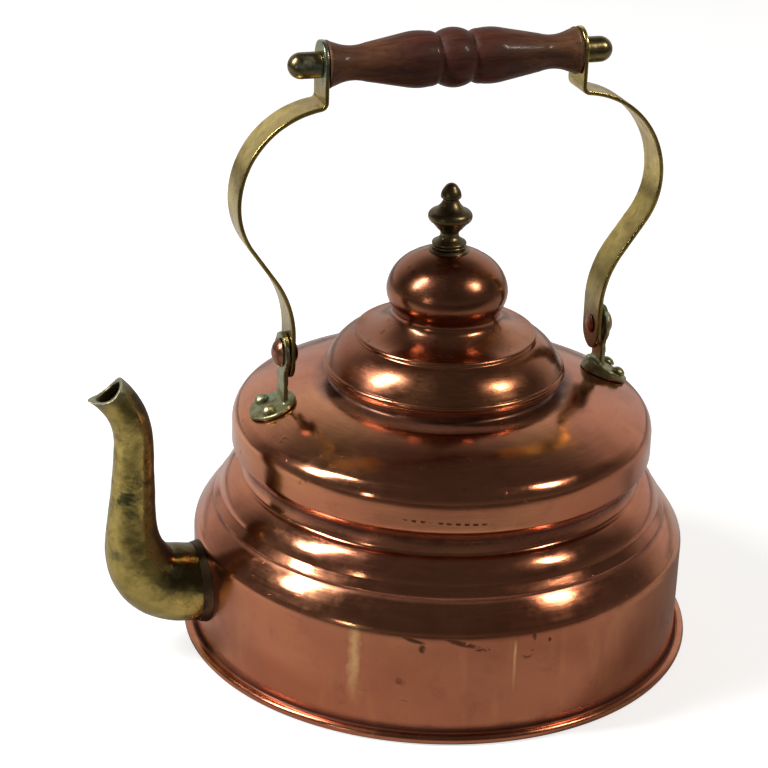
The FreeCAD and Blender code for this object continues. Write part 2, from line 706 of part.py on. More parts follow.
def strap(side):
    body = padded(side + "_strap", strap_profile(side), D("strap_width"))
    body.Placement = SHIFT.multiply(TURN[side])
    # rounded ends: everything outside two stadium outlines is trimmed away
    w = VAL["strap_width"]
    r = w / 2.0
    low = Part.makeBox(20, 60, 40, Vector(50, -30, 80)).cut(
        Part.makeCylinder(r, 20, Vector(50, 0, VAL["strap_end"] + r), Vector(1, 0, 0))).cut(
        Part.makeBox(20, 60, 40, Vector(50, -30, VAL["strap_end"] + r)))
    top = Part.makeBox(16, 60, 40, Vector(45, -30, VAL["tab_top"] - r)).cut(
        Part.makeCylinder(r, 16, Vector(45, 0, VAL["tab_top"] - r), Vector(1, 0, 0)))
    pin = Part.makeCylinder(VAL["strap_hole_radius"], 20, Vector(50, 0, VAL["pivot_height"]),
                            Vector(1, 0, 0))
    rod = Part.makeCylinder(VAL["rod_radius"], 20, Vector(42, 0, VAL["grip_height"]), Vector(1, 0, 0))
    tool = feature(side + "_strap_trim", Part.makeCompound([low, top, pin, rod]))
    tool.Placement = SHIFT.multiply(TURN[side])
    return node(boolean("Cut", side + "_strap_cut", body, tool), side + "_strap")


strap("spout_side")
strap("back")

# ---------------------------------------------------------------- rod, nuts and grip
ALONG = Rotation(Vector(0, 1, 0), 90)
rod = revolved("handle_rod", [
    (0, D("rod_half") * -1.0),
    ("L", (D("rod_radius", -0.5), D("rod_half") * -1.0)),
    ("L", (D("rod_radius"), D("rod_half") * -1.0 + 0.5)),
    ("L", (D("rod_radius"), D("rod_half", -0.5))),
    ("L", (D("rod_radius", -0.5), D("rod_half"))),
    ("L", (0, D("rod_half"))),
    ("L", (0, D("rod_half") * -1.0)),
])
rod.Placement = Placement(Vector(VAL["grip_shift"], 0, VAL["grip_height"]), ALONG)
rod.setExpression("Placement.Base.z", D("grip_height").text())
rod.setExpression("Placement.Base.x", D("grip_shift").text())
node(rod, "handle_rod")

for side in ("spout_side", "back"):
    tab_out = (D("spout_side_tab") + D("back_tab")) * 0.5 + SG * 0.5
    nr = D("nut_radius")
    top = tab_out + D("nut_straight")
    nut = revolved(side + "_dome_nut", [
        (D("rod_radius"), tab_out),
        ("L", (D("nut_radius", -0.5), tab_out)),
        ("L", (nr, tab_out + 0.5)),
        ("L", (nr, top)),
        ("O", (0, top + nr)),
        ("L", (0, D("rod_half", 0.3))),
        ("L", (D("rod_radius"), D("rod_half", 0.3))),
        ("L", (D("rod_radius"), tab_out)),
    ])
    nut.Placement = Placement(Vector(VAL["grip_shift"], 0, 0), Rotation()).multiply(
        TURN[side]).multiply(Placement(Vector(0, 0, VAL["grip_height"]), ALONG))
    nut.setExpression("Placement.Base.z", D("grip_height").text())
    nut.setExpression("Placement.Base.x", D("grip_shift").text())
    node(nut, side + "_dome_nut")

half_grip = [
    (D("grip_groove_radius"), 6.4),
    ("A", (D("grip_groove_radius", 0.75), 7.6), (D("grip_bulge_radius", -0.3), 9.9)),
    ("A", (D("grip_bulge_radius"), 13.2), (D("grip_bulge_radius", -0.55), 18.8)),
    ("L", (D("grip_neck_radius", 0.75), 33.2)),
    ("A", (D("grip_neck_radius"), 38.6), (D("grip_neck_radius", 0.75), 43.2)),
    ("L", (D("grip_end_radius", -0.35), D("grip_half", -1.4))),
    ("A", (D("grip_end_radius", -0.02), D("grip_half", -0.55)), (D("grip_end_radius", -0.7), D("grip_half"))),
]


def mirrored(chain):
    def flip(p):
        z = p[1] if isinstance(p[1], Lin) else Lin({}, p[1])
        return (p[0], z * -1.0)
    pts = [flip(chain[0])]
    for piece in chain[1:]:
        pts.append(tuple([piece[0]] + [flip(q) for q in piece[1:]]))
    return reverse_chain(pts)


lower = mirrored(half_grip)
grip_chain = ([(D("grip_bore"), D("grip_half") * -1.0), ("L", lower[0])] + lower[1:]
              + [("A", (D("grip_bead_radius"), 0), half_grip[0])] + half_grip[1:]
              + [("L", (D("grip_bore"), D("grip_half"))),
                 ("L", (D("grip_bore"), D("grip_half") * -1.0))])
grip = revolved("wooden_grip", grip_chain)
grip.Placement = Placement(Vector(VAL["grip_shift"], 0, VAL["grip_height"]), ALONG)
grip.setExpression("Placement.Base.z", D("grip_height").text())
grip.setExpression("Placement.Base.x", D("grip_shift").text())
node(grip, "wooden_grip")

# ---------------------------------------------------------------- lid
LG = D("lid_gauge")
lid_outer = [
    (D("brim_radius"), D("brim_height") + LG),
    ("L", (D("brim_radius", -0.45), D("brim_height", 0.1) + LG)),
    ("A", (D("brim_radius", -0.35), D("brim_height", 1.35) + LG), (D("brim_radius", -1.35), D("brim_height", 2.05) + LG)),
    ("L", (D("lid_ring_radius", 0.25), D("lid_ring_height", -0.5))),
    ("L", (D("lid_ring_radius"), D("lid_ring_height"))),
    ("A", (D("lid_ring_radius", -3.75), D("lid_ring_height", 5.5)), (D("bell_radius", 0.1), D("bell_height"))),
    ("L", (D("bell_radius", -0.25), D("bell_height", 0.35))),
    ("A", (D("bell_radius", -0.35), D("bell_height", 1.45)), (D("bell_radius", -1.3), D("bell_height", 1.95))),
    ("A", (27.31, D("bell_height", 3.41)), (D("neck_radius", 1.30), D("neck_height", -2.51))),
    ("A", (D("neck_radius"), D("neck_height")), (D("neck_radius", 0.68), D("neck_height", 2.74))),
    ("A", (D("ball_radius", -0.43), D("ball_height", -3.53)), (D("ball_radius"), D("ball_height"))),
    ("A", (20.75, D("ball_height", 6.5)), (15.2, D("ball_height", 11.9))),
    ("A", (11.1, D("ball_height", 13.95)), (6.6, D("seat_height"))),
    ("L", (D("stud_radius", 0.15), D("seat_height"))),
]
lid_inner = [
    (D("brim_radius"), D("brim_height")),
    ("L", (D("lid_ring_radius") - LG, D("brim_height"))),
    ("L", (D("lid_ring_radius") - LG, D("lid_ring_height", -0.2))),
    ("A", (D("lid_ring_radius", -4.5) - LG * 0.1, D("lid_ring_height", 4.75)),
     (D("bell_radius", -0.55), D("bell_height", -0.75))),
    ("L", (D("bell_radius", -1.7), D("bell_height", 0.95))),
    ("A", (26.92, D("bell_height", 2.49)), (D("neck_radius", 0.63), D("neck_height", -3.26))),
    ("A", (D("neck_radius", -1.00), D("neck_height", -0.12)), (D("neck_radius", -0.14), D("neck_height", 3.31))),
    ("A", (D("ball_radius", -1.39), D("ball_height", -3.25)), (D("ball_radius") - LG, D("ball_height"))),
    ("A", (19.85, D("ball_height", 6.1)), (14.55, D("ball_height", 11.1))),
    ("A", (10.6, D("ball_height", 13.0)), (6.4, D("seat_height") - LG)),
    ("L", (D("stud_radius", 0.15), D("seat_height") - LG)),
]
back_in = reverse_chain(lid_inner)
lid_cover = node(revolved("lid_cover", lid_outer + [("L", back_in[0])] + back_in[1:]
                          + [("L", lid_outer[0])]), "lid_cover")

# The room under the lid's sheet, which trims the top of the sleeve.
lid_room = turned_shape([(0, 60.0), ("L", (VAL["lid_ring_radius"] - VAL["lid_gauge"], 60.0)),
                         ("L", lid_inner[1][-1])] + lid_inner[2:]
                        + [("L", (0, D("seat_height") - LG)), ("L", (0, 60.0))])
sleeve = Part.makeCylinder(VAL["sleeve_radius"], 26.0, Vector(0, 0, VAL["sleeve_foot"])).cut(
    Part.makeCylinder(VAL["sleeve_radius"] - VAL["sleeve_gauge"], 26.0, Vector(0, 0, VAL["sleeve_foot"])))
node(feature("lid_sleeve_tube", sleeve.common(lid_room)), "lid_sleeve")

washer = revolved("finial_washer", [
    (D("stud_radius", 0.1), D("seat_height")),
    ("L", (6.6, D("seat_height"))),
    ("L", (7.45, D("seat_height", -0.35))),
    ("A", (7.75, D("seat_height", 0.2)), (7.3, D("seat_height", 0.55))),
    ("L", (6.5, D("seat_height", 0.9))),
    ("L", (D("stud_radius", 0.1), D("seat_height", 0.9))),
    ("L", (D("stud_radius", 0.1), D("seat_height"))),
])
node(washer, "finial_washer")

S = lambda dz: D("seat_height", 0.9 + dz)
finial = revolved("finial", [
    (0, D("seat_height", -6.0)),
    ("L", (D("stud_radius", -0.4), D("seat_height", -6.0))),
    ("L", (D("stud_radius"), D("seat_height", -5.6))),
    ("L", (D("stud_radius"), S(0.0))),
    ("L", (6.0, S(0.0))),
    ("A", (6.55, S(0.65)), (6.0, S(1.3))),
    ("A", (6.55, S(2.0)), (5.9, S(2.65))),
    ("L", (5.3, S(3.1))),
    ("A", (4.05, S(3.95)), (3.5, S(5.2))),
    ("A", (3.75, S(6.4)), (4.7, S(7.5))),
    ("L", (6.9, S(10.1))),
    ("A", (8.35, S(12.85)), (7.3, S(14.45))),
    ("A", (4.7, S(16.1)), (3.0, S(18.5))),
    ("L", (3.05, S(19.1))),
    ("L", (3.9, S(19.8))),
    ("A", (3.65, S(21.8)), (2.6, S(23.6))),
    ("O", (0, S(25.3))),
    ("L", (0, D("seat_height", -6.0))),
])
node(finial, "finial")

nut_top = VAL["seat_height"] - VAL["lid_gauge"]
hexa = Part.makePolygon([Vector(4.04 * math.cos(math.radians(60 * k)), 4.04 * math.sin(math.radians(60 * k)),
                                nut_top - 3.0) for k in range(7)])
hexnut = Part.Face(Part.Wire(hexa)).extrude(Vector(0, 0, 3.0)).cut(
    Part.makeCylinder(VAL["stud_radius"], 6.0, Vector(0, 0, nut_top - 4.0)))
node(feature("finial_nut_hex", hexnut), "finial_nut")

doc.recompute()

# ---------------------------------------------------------------- checks and export
bad = [o.Name for o in doc.Objects if any(k in o.State for k in ("Invalid", "Error"))]
if bad:
    raise RuntimeError("failed objects: " + ", ".join(bad))
labels = [p.Label for p in PARTS]
if len(set(labels)) != len(labels):
    raise RuntimeError("labels are not unique")
os.makedirs("parts", exist_ok=True)
for p in PARTS:
    s = p.Shape
    if s.isNull() or not s.isValid() or not s.Solids:
        raise RuntimeError("bad shape: " + p.Label)
for p in PARTS:
    p.Shape.exportStep("parts/%s.step" % p.Label)
    b = p.Shape.BoundBox
    print("%-26s solids %d volume %10.1f  x %.1f %.1f  y %.1f %.1f  z %.1f %.1f" % (
        p.Label, len(p.Shape.Solids), p.Shape.Volume, b.XMin, b.XMax, b.YMin, b.YMax, b.ZMin, b.ZMax))
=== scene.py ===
"""Looks for the copper stove kettle: turned copper body and lid, brass spout, bail, lugs and knob, wooden grip."""

import bpy
import bmesh
import math
import random
from mathutils import Matrix, Vector, noise


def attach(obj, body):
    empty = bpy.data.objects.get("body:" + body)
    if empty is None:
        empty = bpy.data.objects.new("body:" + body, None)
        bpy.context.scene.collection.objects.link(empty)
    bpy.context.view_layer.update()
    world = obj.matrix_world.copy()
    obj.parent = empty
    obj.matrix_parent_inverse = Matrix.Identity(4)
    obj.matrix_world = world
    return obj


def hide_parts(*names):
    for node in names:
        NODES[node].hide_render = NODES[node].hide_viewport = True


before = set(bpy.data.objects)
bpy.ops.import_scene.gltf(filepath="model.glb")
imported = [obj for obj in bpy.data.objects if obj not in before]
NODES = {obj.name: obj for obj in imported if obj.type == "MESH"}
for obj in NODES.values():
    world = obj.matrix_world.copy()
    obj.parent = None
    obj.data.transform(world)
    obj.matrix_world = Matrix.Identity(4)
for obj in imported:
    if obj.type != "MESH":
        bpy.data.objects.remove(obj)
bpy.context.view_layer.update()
MM = 0.001
SCENE = bpy.context.scene


# ------------------------------------------------------------------ profiles
def arc_points(a, m, b, step):
    """Points on the circle through a, m, b, from a to b, without a."""
    ax, ay = a
    mx, my = m
    bx, by = b
    d = 2 * (ax * (my - by) + mx * (by - ay) + bx * (ay - my))
    a2, m2, b2 = ax * ax + ay * ay, mx * mx + my * my, bx * bx + by * by
    cx = (a2 * (my - by) + m2 * (by - ay) + b2 * (ay - my)) / d
    cy = (a2 * (bx - mx) + m2 * (ax - bx) + b2 * (mx - ax)) / d
    r = math.hypot(ax - cx, ay - cy)
    t0, tm, t1 = (math.atan2(y - cy, x - cx) for x, y in (a, m, b))

    def turn(u, v):
        return (v - u) % (2 * math.pi)

    if turn(t0, tm) <= turn(t0, t1):
        sweep = turn(t0, t1)
    else:
        sweep = turn(t0, t1) - 2 * math.pi
    n = max(5, int(math.ceil(abs(sweep) * r / step)), int(math.ceil(abs(sweep) / 0.13)))
    return [(cx + r * math.cos(t0 + sweep * k / n), cy + r * math.sin(t0 + sweep * k / n))
            for k in range(1, n + 1)]


def sample(chain, step=1.1):
    """A polyline from a start point and ("L", end) and ("A", mid, end) pieces."""
    pts = [chain[0]]
    for piece in chain[1:]:
        a, b = pts[-1], piece[-1]
        if piece[0] == "L":
            n = max(1, int(math.ceil(math.hypot(b[0] - a[0], b[1] - a[1]) / step)))
            pts += [(a[0] + (b[0] - a[0]) * k / n, a[1] + (b[1] - a[1]) * k / n) for k in range(1, n + 1)]
        else:
            pts += arc_points(a, piece[1], b, step)
    return pts


def unit(x, y):
    n = math.hypot(x, y) or 1.0
    return x / n, y / n


def offset(pts, dist, side):
    """The polyline moved sideways: side 1 is to the left of travel, -1 to the right."""
    out = []
    for i, p in enumerate(pts):
        a, b = pts[max(0, i - 1)], pts[min(len(pts) - 1, i + 1)]
        dx, dy = unit(b[0] - a[0], b[1] - a[1])
        q = (p[0] - dy * dist * side, p[1] + dx * dist * side)
        out.append(q)
    keep = []
    for q in out:
        near = min(math.hypot(q[0] - s[0], q[1] - s[1]) for s in pts)
        if near > dist * 0.985:
            keep.append((max(q[0], 0.0), q[1]))
    return keep


def soften(pts, radius, closed=False, limit=18.0):
    """Corners sharper than the limit become small arcs, so that edges catch the light."""
    out = []
    n = len(pts)
    for i, p in enumerate(pts):
        if not closed and i in (0, n - 1):
            out.append(p)
            continue
        a, b = pts[(i - 1) % n], pts[(i + 1) % n]
        u = unit(a[0] - p[0], a[1] - p[1])
        v = unit(b[0] - p[0], b[1] - p[1])
        ang = math.degrees(math.acos(max(-1, min(1, -(u[0] * v[0] + u[1] * v[1])))))
        if ang < limit or p[0] < 0.05:
            out.append(p)
            continue
        la = math.hypot(a[0] - p[0], a[1] - p[1])
        lb = math.hypot(b[0] - p[0], b[1] - p[1])
        cut = min(radius, la * 0.45, lb * 0.45)
        s = (p[0] + u[0] * cut, p[1] + u[1] * cut)
        e = (p[0] + v[0] * cut, p[1] + v[1] * cut)
        for k in range(5):
            t = k / 4.0
            out.append(tuple((1 - t) ** 2 * s[j] + 2 * t * (1 - t) * p[j] + t * t * e[j] for j in (0, 1)))
    return out


def dents(co, amount, scale, seed):
    """A small inward-only unevenness from hand finishing and wear."""
    v = noise.noise(co * scale + Vector((seed, seed * 0.7, seed * 1.3)))
    w = noise.noise(co * scale * 2.7 + Vector((seed * 2.1, 3.0, seed)))
    return amount * (0.5 + 0.5 * max(-1.0, min(1.0, 1.1 * v + 0.45 * w)))


def new_object(name, mesh):
    o = bpy.data.objects.new(name, mesh)
    SCENE.collection.objects.link(o)
    return o


def lathe(name, pts, seg=240, wobble=None, matrix=None, mat=None):
    """A closed ring of (radius, height) points turned about Z, in millimetres."""
    bm = bmesh.new()
    rings = []
    for r, z in pts:
        if r < 1e-4:
            rings.append([bm.verts.new(Vector((0, 0, z)) * MM)])
            continue
        ring = []
        for k in range(seg):
            t = 2 * math.pi * k / seg
            c, s = math.cos(t), math.sin(t)
            rr = r
            if wobble:
                rr = r - wobble(Vector((r * c, r * s, z)))
            ring.append(bm.verts.new(Vector((rr * c, rr * s, z)) * MM))
        rings.append(ring)
    n = len(rings)
    for i in range(n):
        a, b = rings[i], rings[(i + 1) % n]
        if len(a) == 1 and len(b) == 1:
            continue
        for k in range(seg):
            k2 = (k + 1) % seg
            if len(a) == 1:
                bm.faces.new((a[0], b[k2], b[k]))
            elif len(b) == 1:
                bm.faces.new((a[k], a[k2], b[0]))
            else:
                bm.faces.new((a[k], a[k2], b[k2], b[k]))
    bmesh.ops.recalc_face_normals(bm, faces=bm.faces)
    for f in bm.faces:
        f.smooth = True
    me = bpy.data.meshes.new(name)
    bm.to_mesh(me)
    bm.free()
    if matrix is not None:
        me.transform(matrix)
    if mat:
        me.materials.append(mat)
    return new_object(name, me)


# ------------------------------------------------------------------ materials
class Tree:
    """Short forms for building a node tree."""

    def __init__(self, name):
        self.mat = bpy.data.materials.new(name)
        self.mat.use_nodes = True
        self.t = self.mat.node_tree
        self.t.nodes.clear()
        self.out = self.n("ShaderNodeOutputMaterial")
        self.bsdf = self.n("ShaderNodeBsdfPrincipled")
        self.t.links.new(self.bsdf.outputs[0], self.out.inputs["Surface"])
        self.co = self.n("ShaderNodeTexCoord").outputs["Object"]

    def n(self, kind, **props):
        node = self.t.nodes.new(kind)
        for k, v in props.items():
            setattr(node, k, v)
        return node

    def link(self, a, b):
        self.t.links.new(a, b)

    def put(self, socket, value):
        if isinstance(value, bpy.types.NodeSocket):
            self.link(value, socket)
        else:
            socket.default_value = value

    def math(self, op, a, b=0.0, c=None, clamp=False):
        m = self.n("ShaderNodeMath", operation=op, use_clamp=clamp)
        self.put(m.inputs[0], a)
        self.put(m.inputs[1], b)
        if c is not None:
            self.put(m.inputs[2], c)
        return m.outputs[0]

    def scaled(self, sx, sy, sz, loc=(0, 0, 0), src=None):
        m = self.n("ShaderNodeMapping")
        self.link(src or self.co, m.inputs["Vector"])
        m.inputs["Scale"].default_value = (sx, sy, sz)
        m.inputs["Location"].default_value = loc
        return m.outputs[0]

    def noise(self, scale, detail=4.0, rough=0.55, vec=None, distortion=0.0, out="Fac"):
        m = self.n("ShaderNodeTexNoise")
        self.link(vec or self.co, m.inputs["Vector"])
        m.inputs["Scale"].default_value = scale
        m.inputs["Detail"].default_value = detail
        m.inputs["Roughness"].default_value = rough
        m.inputs["Distortion"].default_value = distortion
        return m.outputs[out]

    def ramp(self, src, stops):
        """Stops of (position, value): a straight-line map for a number."""
        m = self.n("ShaderNodeMapRange", clamp=True)
        self.put(m.inputs["Value"], src)
        m.inputs["From Min"].default_value = stops[0][0]
        m.inputs["From Max"].default_value = stops[1][0]
        m.inputs["To Min"].default_value = stops[0][1]
        m.inputs["To Max"].default_value = stops[1][1]
        return m.outputs["Result"]

    def mix(self, fac, a, b):
        m = self.n("ShaderNodeMix", data_type="RGBA")
        self.put(m.inputs["Factor"], fac)
        for i, v in ((6, a), (7, b)):
            if isinstance(v, tuple) and len(v) == 3:
                v = (*v, 1.0)
            self.put(m.inputs[i], v)
        return m.outputs[2]

    def split(self, vec=None):
        m = self.n("ShaderNodeSeparateXYZ")
        self.link(vec or self.co, m.inputs[0])
        return m.outputs[0], m.outputs[1], m.outputs[2]

    def join(self, x, y, z):
        m = self.n("ShaderNodeCombineXYZ")
        for i, v in enumerate((x, y, z)):
            self.put(m.inputs[i], v)
        return m.outputs[0]

    def turned(self):
        """(angle in radians, radius, height) about the Z axis."""
        x, y, z = self.split()
        ang = self.math("ARCTAN2", y, x)
        rad = self.math("SQRT", self.math("ADD", self.math("MULTIPLY", x, x), self.math("MULTIPLY", y, y)))
        return ang, rad, z

    def bump(self, height, dist, strength=1.0, normal=None):
        m = self.n("ShaderNodeBump")
        m.inputs["Distance"].default_value = dist
        m.inputs["Strength"].default_value = strength
        self.link(height, m.inputs["Height"])
        if normal is not None:
            self.link(normal, m.inputs["Normal"])
        return m.outputs[0]

    def finish(self, color=None, rough=None, metal=1.0, normal=None, coat=None, coat_rough=0.1):
        b = self.bsdf
        if color is not None:
            self.put(b.inputs["Base Color"], (*color, 1.0) if isinstance(color, tuple) and len(color) == 3 else color)
        if rough is not None:
            self.put(b.inputs["Roughness"], rough)
        self.put(b.inputs["Metallic"], metal)
        if normal is not None:
            self.link(normal, b.inputs["Normal"])
        if coat is not None:
            b.inputs["Coat Weight"].default_value = coat
            b.inputs["Coat Roughness"].default_value = coat_rough
        return self.mat


def copper_body():
    t = Tree("body_copper")
    ang, rad, z = t.turned()
    around = t.math("MULTIPLY", ang, 0.09)
    wall = t.join(around, t.math("MULTIPLY", rad, 0.6), z)
    # slow colour change, cloudy tarnish, and small dark specks
    slow = t.noise(22.0, 3.0, 0.5)
    cloud = t.noise(75.0, 6.0, 0.62, distortion=0.4)
    fine = t.noise(420.0, 3.0, 0.6)
    base = t.mix(t.ramp(slow, [(0.35, 0.0), (0.68, 1.0)]), (0.76, 0.285, 0.150), (0.64, 0.235, 0.128))
    base = t.mix(t.ramp(cloud, [(0.54, 0.0), (0.76, 0.55)]), base, (0.36, 0.125, 0.075))
    # broad areas that went redder or more golden with use
    warm = t.noise(11.0, 3.0, 0.55, vec=t.scaled(1, 1, 1.6, (2.0, 6.0, 3.0)), distortion=0.8)
    base = t.mix(t.ramp(warm, [(0.50, 0.0), (0.66, 0.62)]), base, (0.47, 0.150, 0.074))
    base = t.mix(t.ramp(warm, [(0.36, 0.50), (0.48, 0.0)]), base, (0.86, 0.40, 0.170))
    wall_low = t.ramp(z, [(0.036, 1.0), (0.046, 0.0)])
    # painted shade: the lower wall darker at the front, standing in for the dark it mirrors there
    painted_front_shade = t.ramp(t.math("ABSOLUTE", t.math("ADD", ang, 1.80)), [(0.15, 0.50), (0.75, 0.0)])
    base = t.mix(t.math("MULTIPLY", painted_front_shade, wall_low), base, (0.40, 0.130, 0.066))
    # up-and-down streaks on the lower wall
    streak_vec = t.join(t.math("MULTIPLY", ang, 2.4), 0.0, t.math("MULTIPLY", z, 5.0))
    streak = t.noise(3.4, 3.0, 0.6, vec=streak_vec)
    low = t.math("MULTIPLY", t.ramp(z, [(0.036, 1.0), (0.052, 0.0)]), t.ramp(streak, [(0.56, 0.0), (0.68, 1.0)]), clamp=True)
    base = t.mix(t.math("MULTIPLY", low, 0.28), base, (0.80, 0.36, 0.15))
    # spinning lines
    lines_vec = t.join(t.math("MULTIPLY", ang, 0.35), t.math("MULTIPLY", rad, 40.0), t.math("MULTIPLY", z, 55.0))
    lines = t.noise(22.0, 4.0, 0.7, vec=lines_vec)
    lines = t.math("ADD", 0.5, t.math("MULTIPLY", t.math("SUBTRACT", lines, 0.5), t.ramp(z, [(0.038, 0.40), (0.050, 1.0)])))
    # specks and scratches
    speck = t.noise(150.0, 2.0, 0.5, vec=t.scaled(1, 1, 1, (3.1, 1.7, 0.4)))
    patch = t.noise(26.0, 2.0, 0.5, vec=t.scaled(1, 1, 1, (7.3, 2.2, 5.0)))
    specks = t.math("MULTIPLY", t.ramp(speck, [(0.70, 0.0), (0.76, 1.0)]), t.ramp(patch, [(0.5, 0.0), (0.62, 1.0)]), clamp=True)
    scr_vec = t.join(t.math("MULTIPLY", ang, 1.0), 0.0, t.math("MULTIPLY", z, 30.0))
    scratch = t.noise(24.0, 3.0, 0.75, vec=scr_vec, distortion=1.2)
    scratches = t.math("MULTIPLY", t.ramp(scratch, [(0.69, 0.0), (0.74, 1.0)]), t.ramp(patch, [(0.40, 0.0), (0.56, 1.0)]), clamp=True)
    # a short row of punched dashes below the bulge at the front
    wave = t.n("ShaderNodeTexWave", wave_type="BANDS", bands_direction="X")
    t.link(t.join(ang, 0.0, 0.0), wave.inputs["Vector"])
    wave.inputs["Scale"].default_value = 8.0
    wave.inputs["Distortion"].default_value = 1.5
    wave.inputs["Detail Scale"].default_value = 6.0
    dash = t.ramp(wave.outputs["Fac"], [(0.30, 0.0), (0.5, 1.0)])
    level = t.math("ABSOLUTE", t.math("SUBTRACT", t.math("SUBTRACT", z, 0.0806), t.math("MULTIPLY", t.math("ADD", ang, 1.875), -0.003)))
    dash = t.math("MULTIPLY", dash, t.ramp(level, [(0.0003, 1.0), (0.0006, 0.0)]), clamp=True)
    near = t.math("ABSOLUTE", t.math("SUBTRACT", ang, -1.875))
    dash = t.math("MULTIPLY", dash, t.ramp(near, [(0.17, 1.0), (0.21, 0.0)]), clamp=True)
    dash = t.math("MULTIPLY", dash, t.ramp(t.noise(190.0, 2.0, 0.5), [(0.40, 0.0), (0.52, 1.0)]), clamp=True)
    def spot(a0, z0, half_a, half_z, tilt, cut, seed):
        da = t.math("DIVIDE", t.math("SUBTRACT", ang, a0), half_a)
        dz = t.math("DIVIDE", t.math("SUBTRACT", t.math("SUBTRACT", z, z0), t.math("MULTIPLY", t.math("SUBTRACT", ang, a0), tilt)), half_z)
        d = t.math("SQRT", t.math("ADD", t.math("MULTIPLY", da, da), t.math("MULTIPLY", dz, dz)))
        grit = t.noise(330.0, 3.0, 0.6, vec=t.scaled(1, 1, 1, (seed, seed * 2, seed * 3)))
        return t.math("MULTIPLY", t.ramp(d, [(0.55, 1.0), (1.1, 0.0)]), t.ramp(grit, [(cut - 0.05, 0.0), (cut + 0.05, 1.0)]), clamp=True)

    nicks = None
    for args in ((-1.955, 0.0375, 0.015, 0.0019, 0.0, 0.42, 1.0), (-1.985, 0.0405, 0.045, 0.0008, -0.020, 0.42, 6.0),
                 (-1.80, 0.0398, 0.070, 0.0011, -0.022, 0.42, 2.0), (-1.72, 0.0372, 0.040, 0.0007, -0.006, 0.42, 3.0),
                 (-1.525, 0.0405, 0.010, 0.0014, 0.0, 0.36, 4.0), (-1.545, 0.0345, 0.028, 0.0024, 0.02, 0.50, 5.0),
                 (-1.46, 0.0385, 0.008, 0.0010, 0.0, 0.38, 7.0)):
        one = spot(*args)
        nicks = one if nicks is None else t.math("MAXIMUM", nicks, one)
    nicks = t.math("MULTIPLY", nicks, 0.85)
    # two upright painted highlights on the brushed wall: reflections of the lamps painted into the colour
    for a0, half_a, top, foot, bright, ragged in ((-2.215, 0.030, 0.046, 0.010, 0.85, 0.060), (-1.600, 0.0075, 0.041, 0.018, 0.85, 0.006)):
        wob = t.math("MULTIPLY", t.math("SUBTRACT", t.noise(190.0, 4.0, 0.7), 0.5), ragged)
        da = t.math("ABSOLUTE", t.math("ADD", t.math("SUBTRACT", ang, a0), wob))
        painted_glint = t.math("MULTIPLY", t.ramp(da, [(half_a * 0.2, 1.0), (half_a, 0.0)]), t.math("MULTIPLY", t.ramp(z, [(top - 0.004, 1.0), (top, 0.0)]), t.ramp(z, [(foot, 0.0), (foot + 0.018, 1.0)])), clamp=True)
        base = t.mix(t.math("MULTIPLY", painted_glint, bright), base, (1.0, 0.60, 0.26))
    marks = t.math("MAXIMUM", t.math("MAXIMUM", t.math("MAXIMUM", nicks, t.math("MULTIPLY", specks, 0.75)), t.math("MULTIPLY", scratches, 0.6)), t.math("MULTIPLY", dash, 0.9))
    base = t.mix(marks, base, (0.075, 0.034, 0.022))
    base = t.mix(t.ramp(lines, [(0.35, 0.22), (0.65, 0.0)]), base, (0.34, 0.125, 0.075))
    # painted shade where light doesn't reach: under the lid, in the waist, at the ledge and in the foot seam, as
    # darker colour and duller metal
    seat = t.math("MULTIPLY", t.ramp(rad, [(0.0462, 1.0), (0.0515, 0.0)]), t.ramp(z, [(0.098, 0.0), (0.100, 1.0)]), clamp=True)
    waist = t.ramp(t.math("ABSOLUTE", t.math("SUBTRACT", z, 0.0718)), [(0.0012, 1.0), (0.0036, 0.0)])
    seam = t.math("MULTIPLY", t.ramp(z, [(0.0036, 1.0), (0.0068, 0.0)]), t.ramp(rad, [(0.0968, 1.0), (0.0972, 0.0)]), clamp=True)
    ledge = t.ramp(t.math("ABSOLUTE", t.math("SUBTRACT", z, 0.0535)), [(0.0003, 0.7), (0.0013, 0.0)])
    painted_recess_shade = t.math("MAXIMUM", t.math("MAXIMUM", seat, waist), t.math("MAXIMUM", seam, ledge))
    painted_recess_shade = t.math("MULTIPLY", painted_recess_shade, t.ramp(cloud, [(0.3, 0.55), (0.6, 0.95)]), clamp=True)
    base = t.mix(painted_recess_shade, base, (0.105, 0.040, 0.025))
    metal = t.math("SUBTRACT", 1.0, t.math("MULTIPLY", painted_recess_shade, 0.50))
    rough = t.math("ADD", t.ramp(cloud, [(0.40, 0.085), (0.75, 0.20)]), t.math("MULTIPLY", t.math("MAXIMUM", marks, painted_recess_shade), 0.22))
    rough = t.math("ADD", rough, t.ramp(lines, [(0.3, 0.0), (0.7, 0.045)]))
    rough = t.math("ADD", rough, t.ramp(fine, [(0.3, 0.0), (0.7, 0.03)]))
    rough = t.math("ADD", rough, t.math("MULTIPLY", wall_low, 0.07))
    tangent = t.n("ShaderNodeTangent", direction_type="RADIAL", axis="Z")
    t.link(tangent.outputs[0], t.bsdf.inputs["Tangent"])
    t.bsdf.inputs["Anisotropic"].default_value = 0.35
    t.bsdf.inputs["Anisotropic Rotation"].default_value = 0.25
    n1 = t.bump(t.noise(30.0, 2.0, 0.5), 0.0011, 0.45)
    n2 = t.bump(lines, 0.00006, 0.5, n1)
    n3 = t.bump(marks, 0.00015, 0.6, n2)
    return t.finish(base, rough, metal, n3)


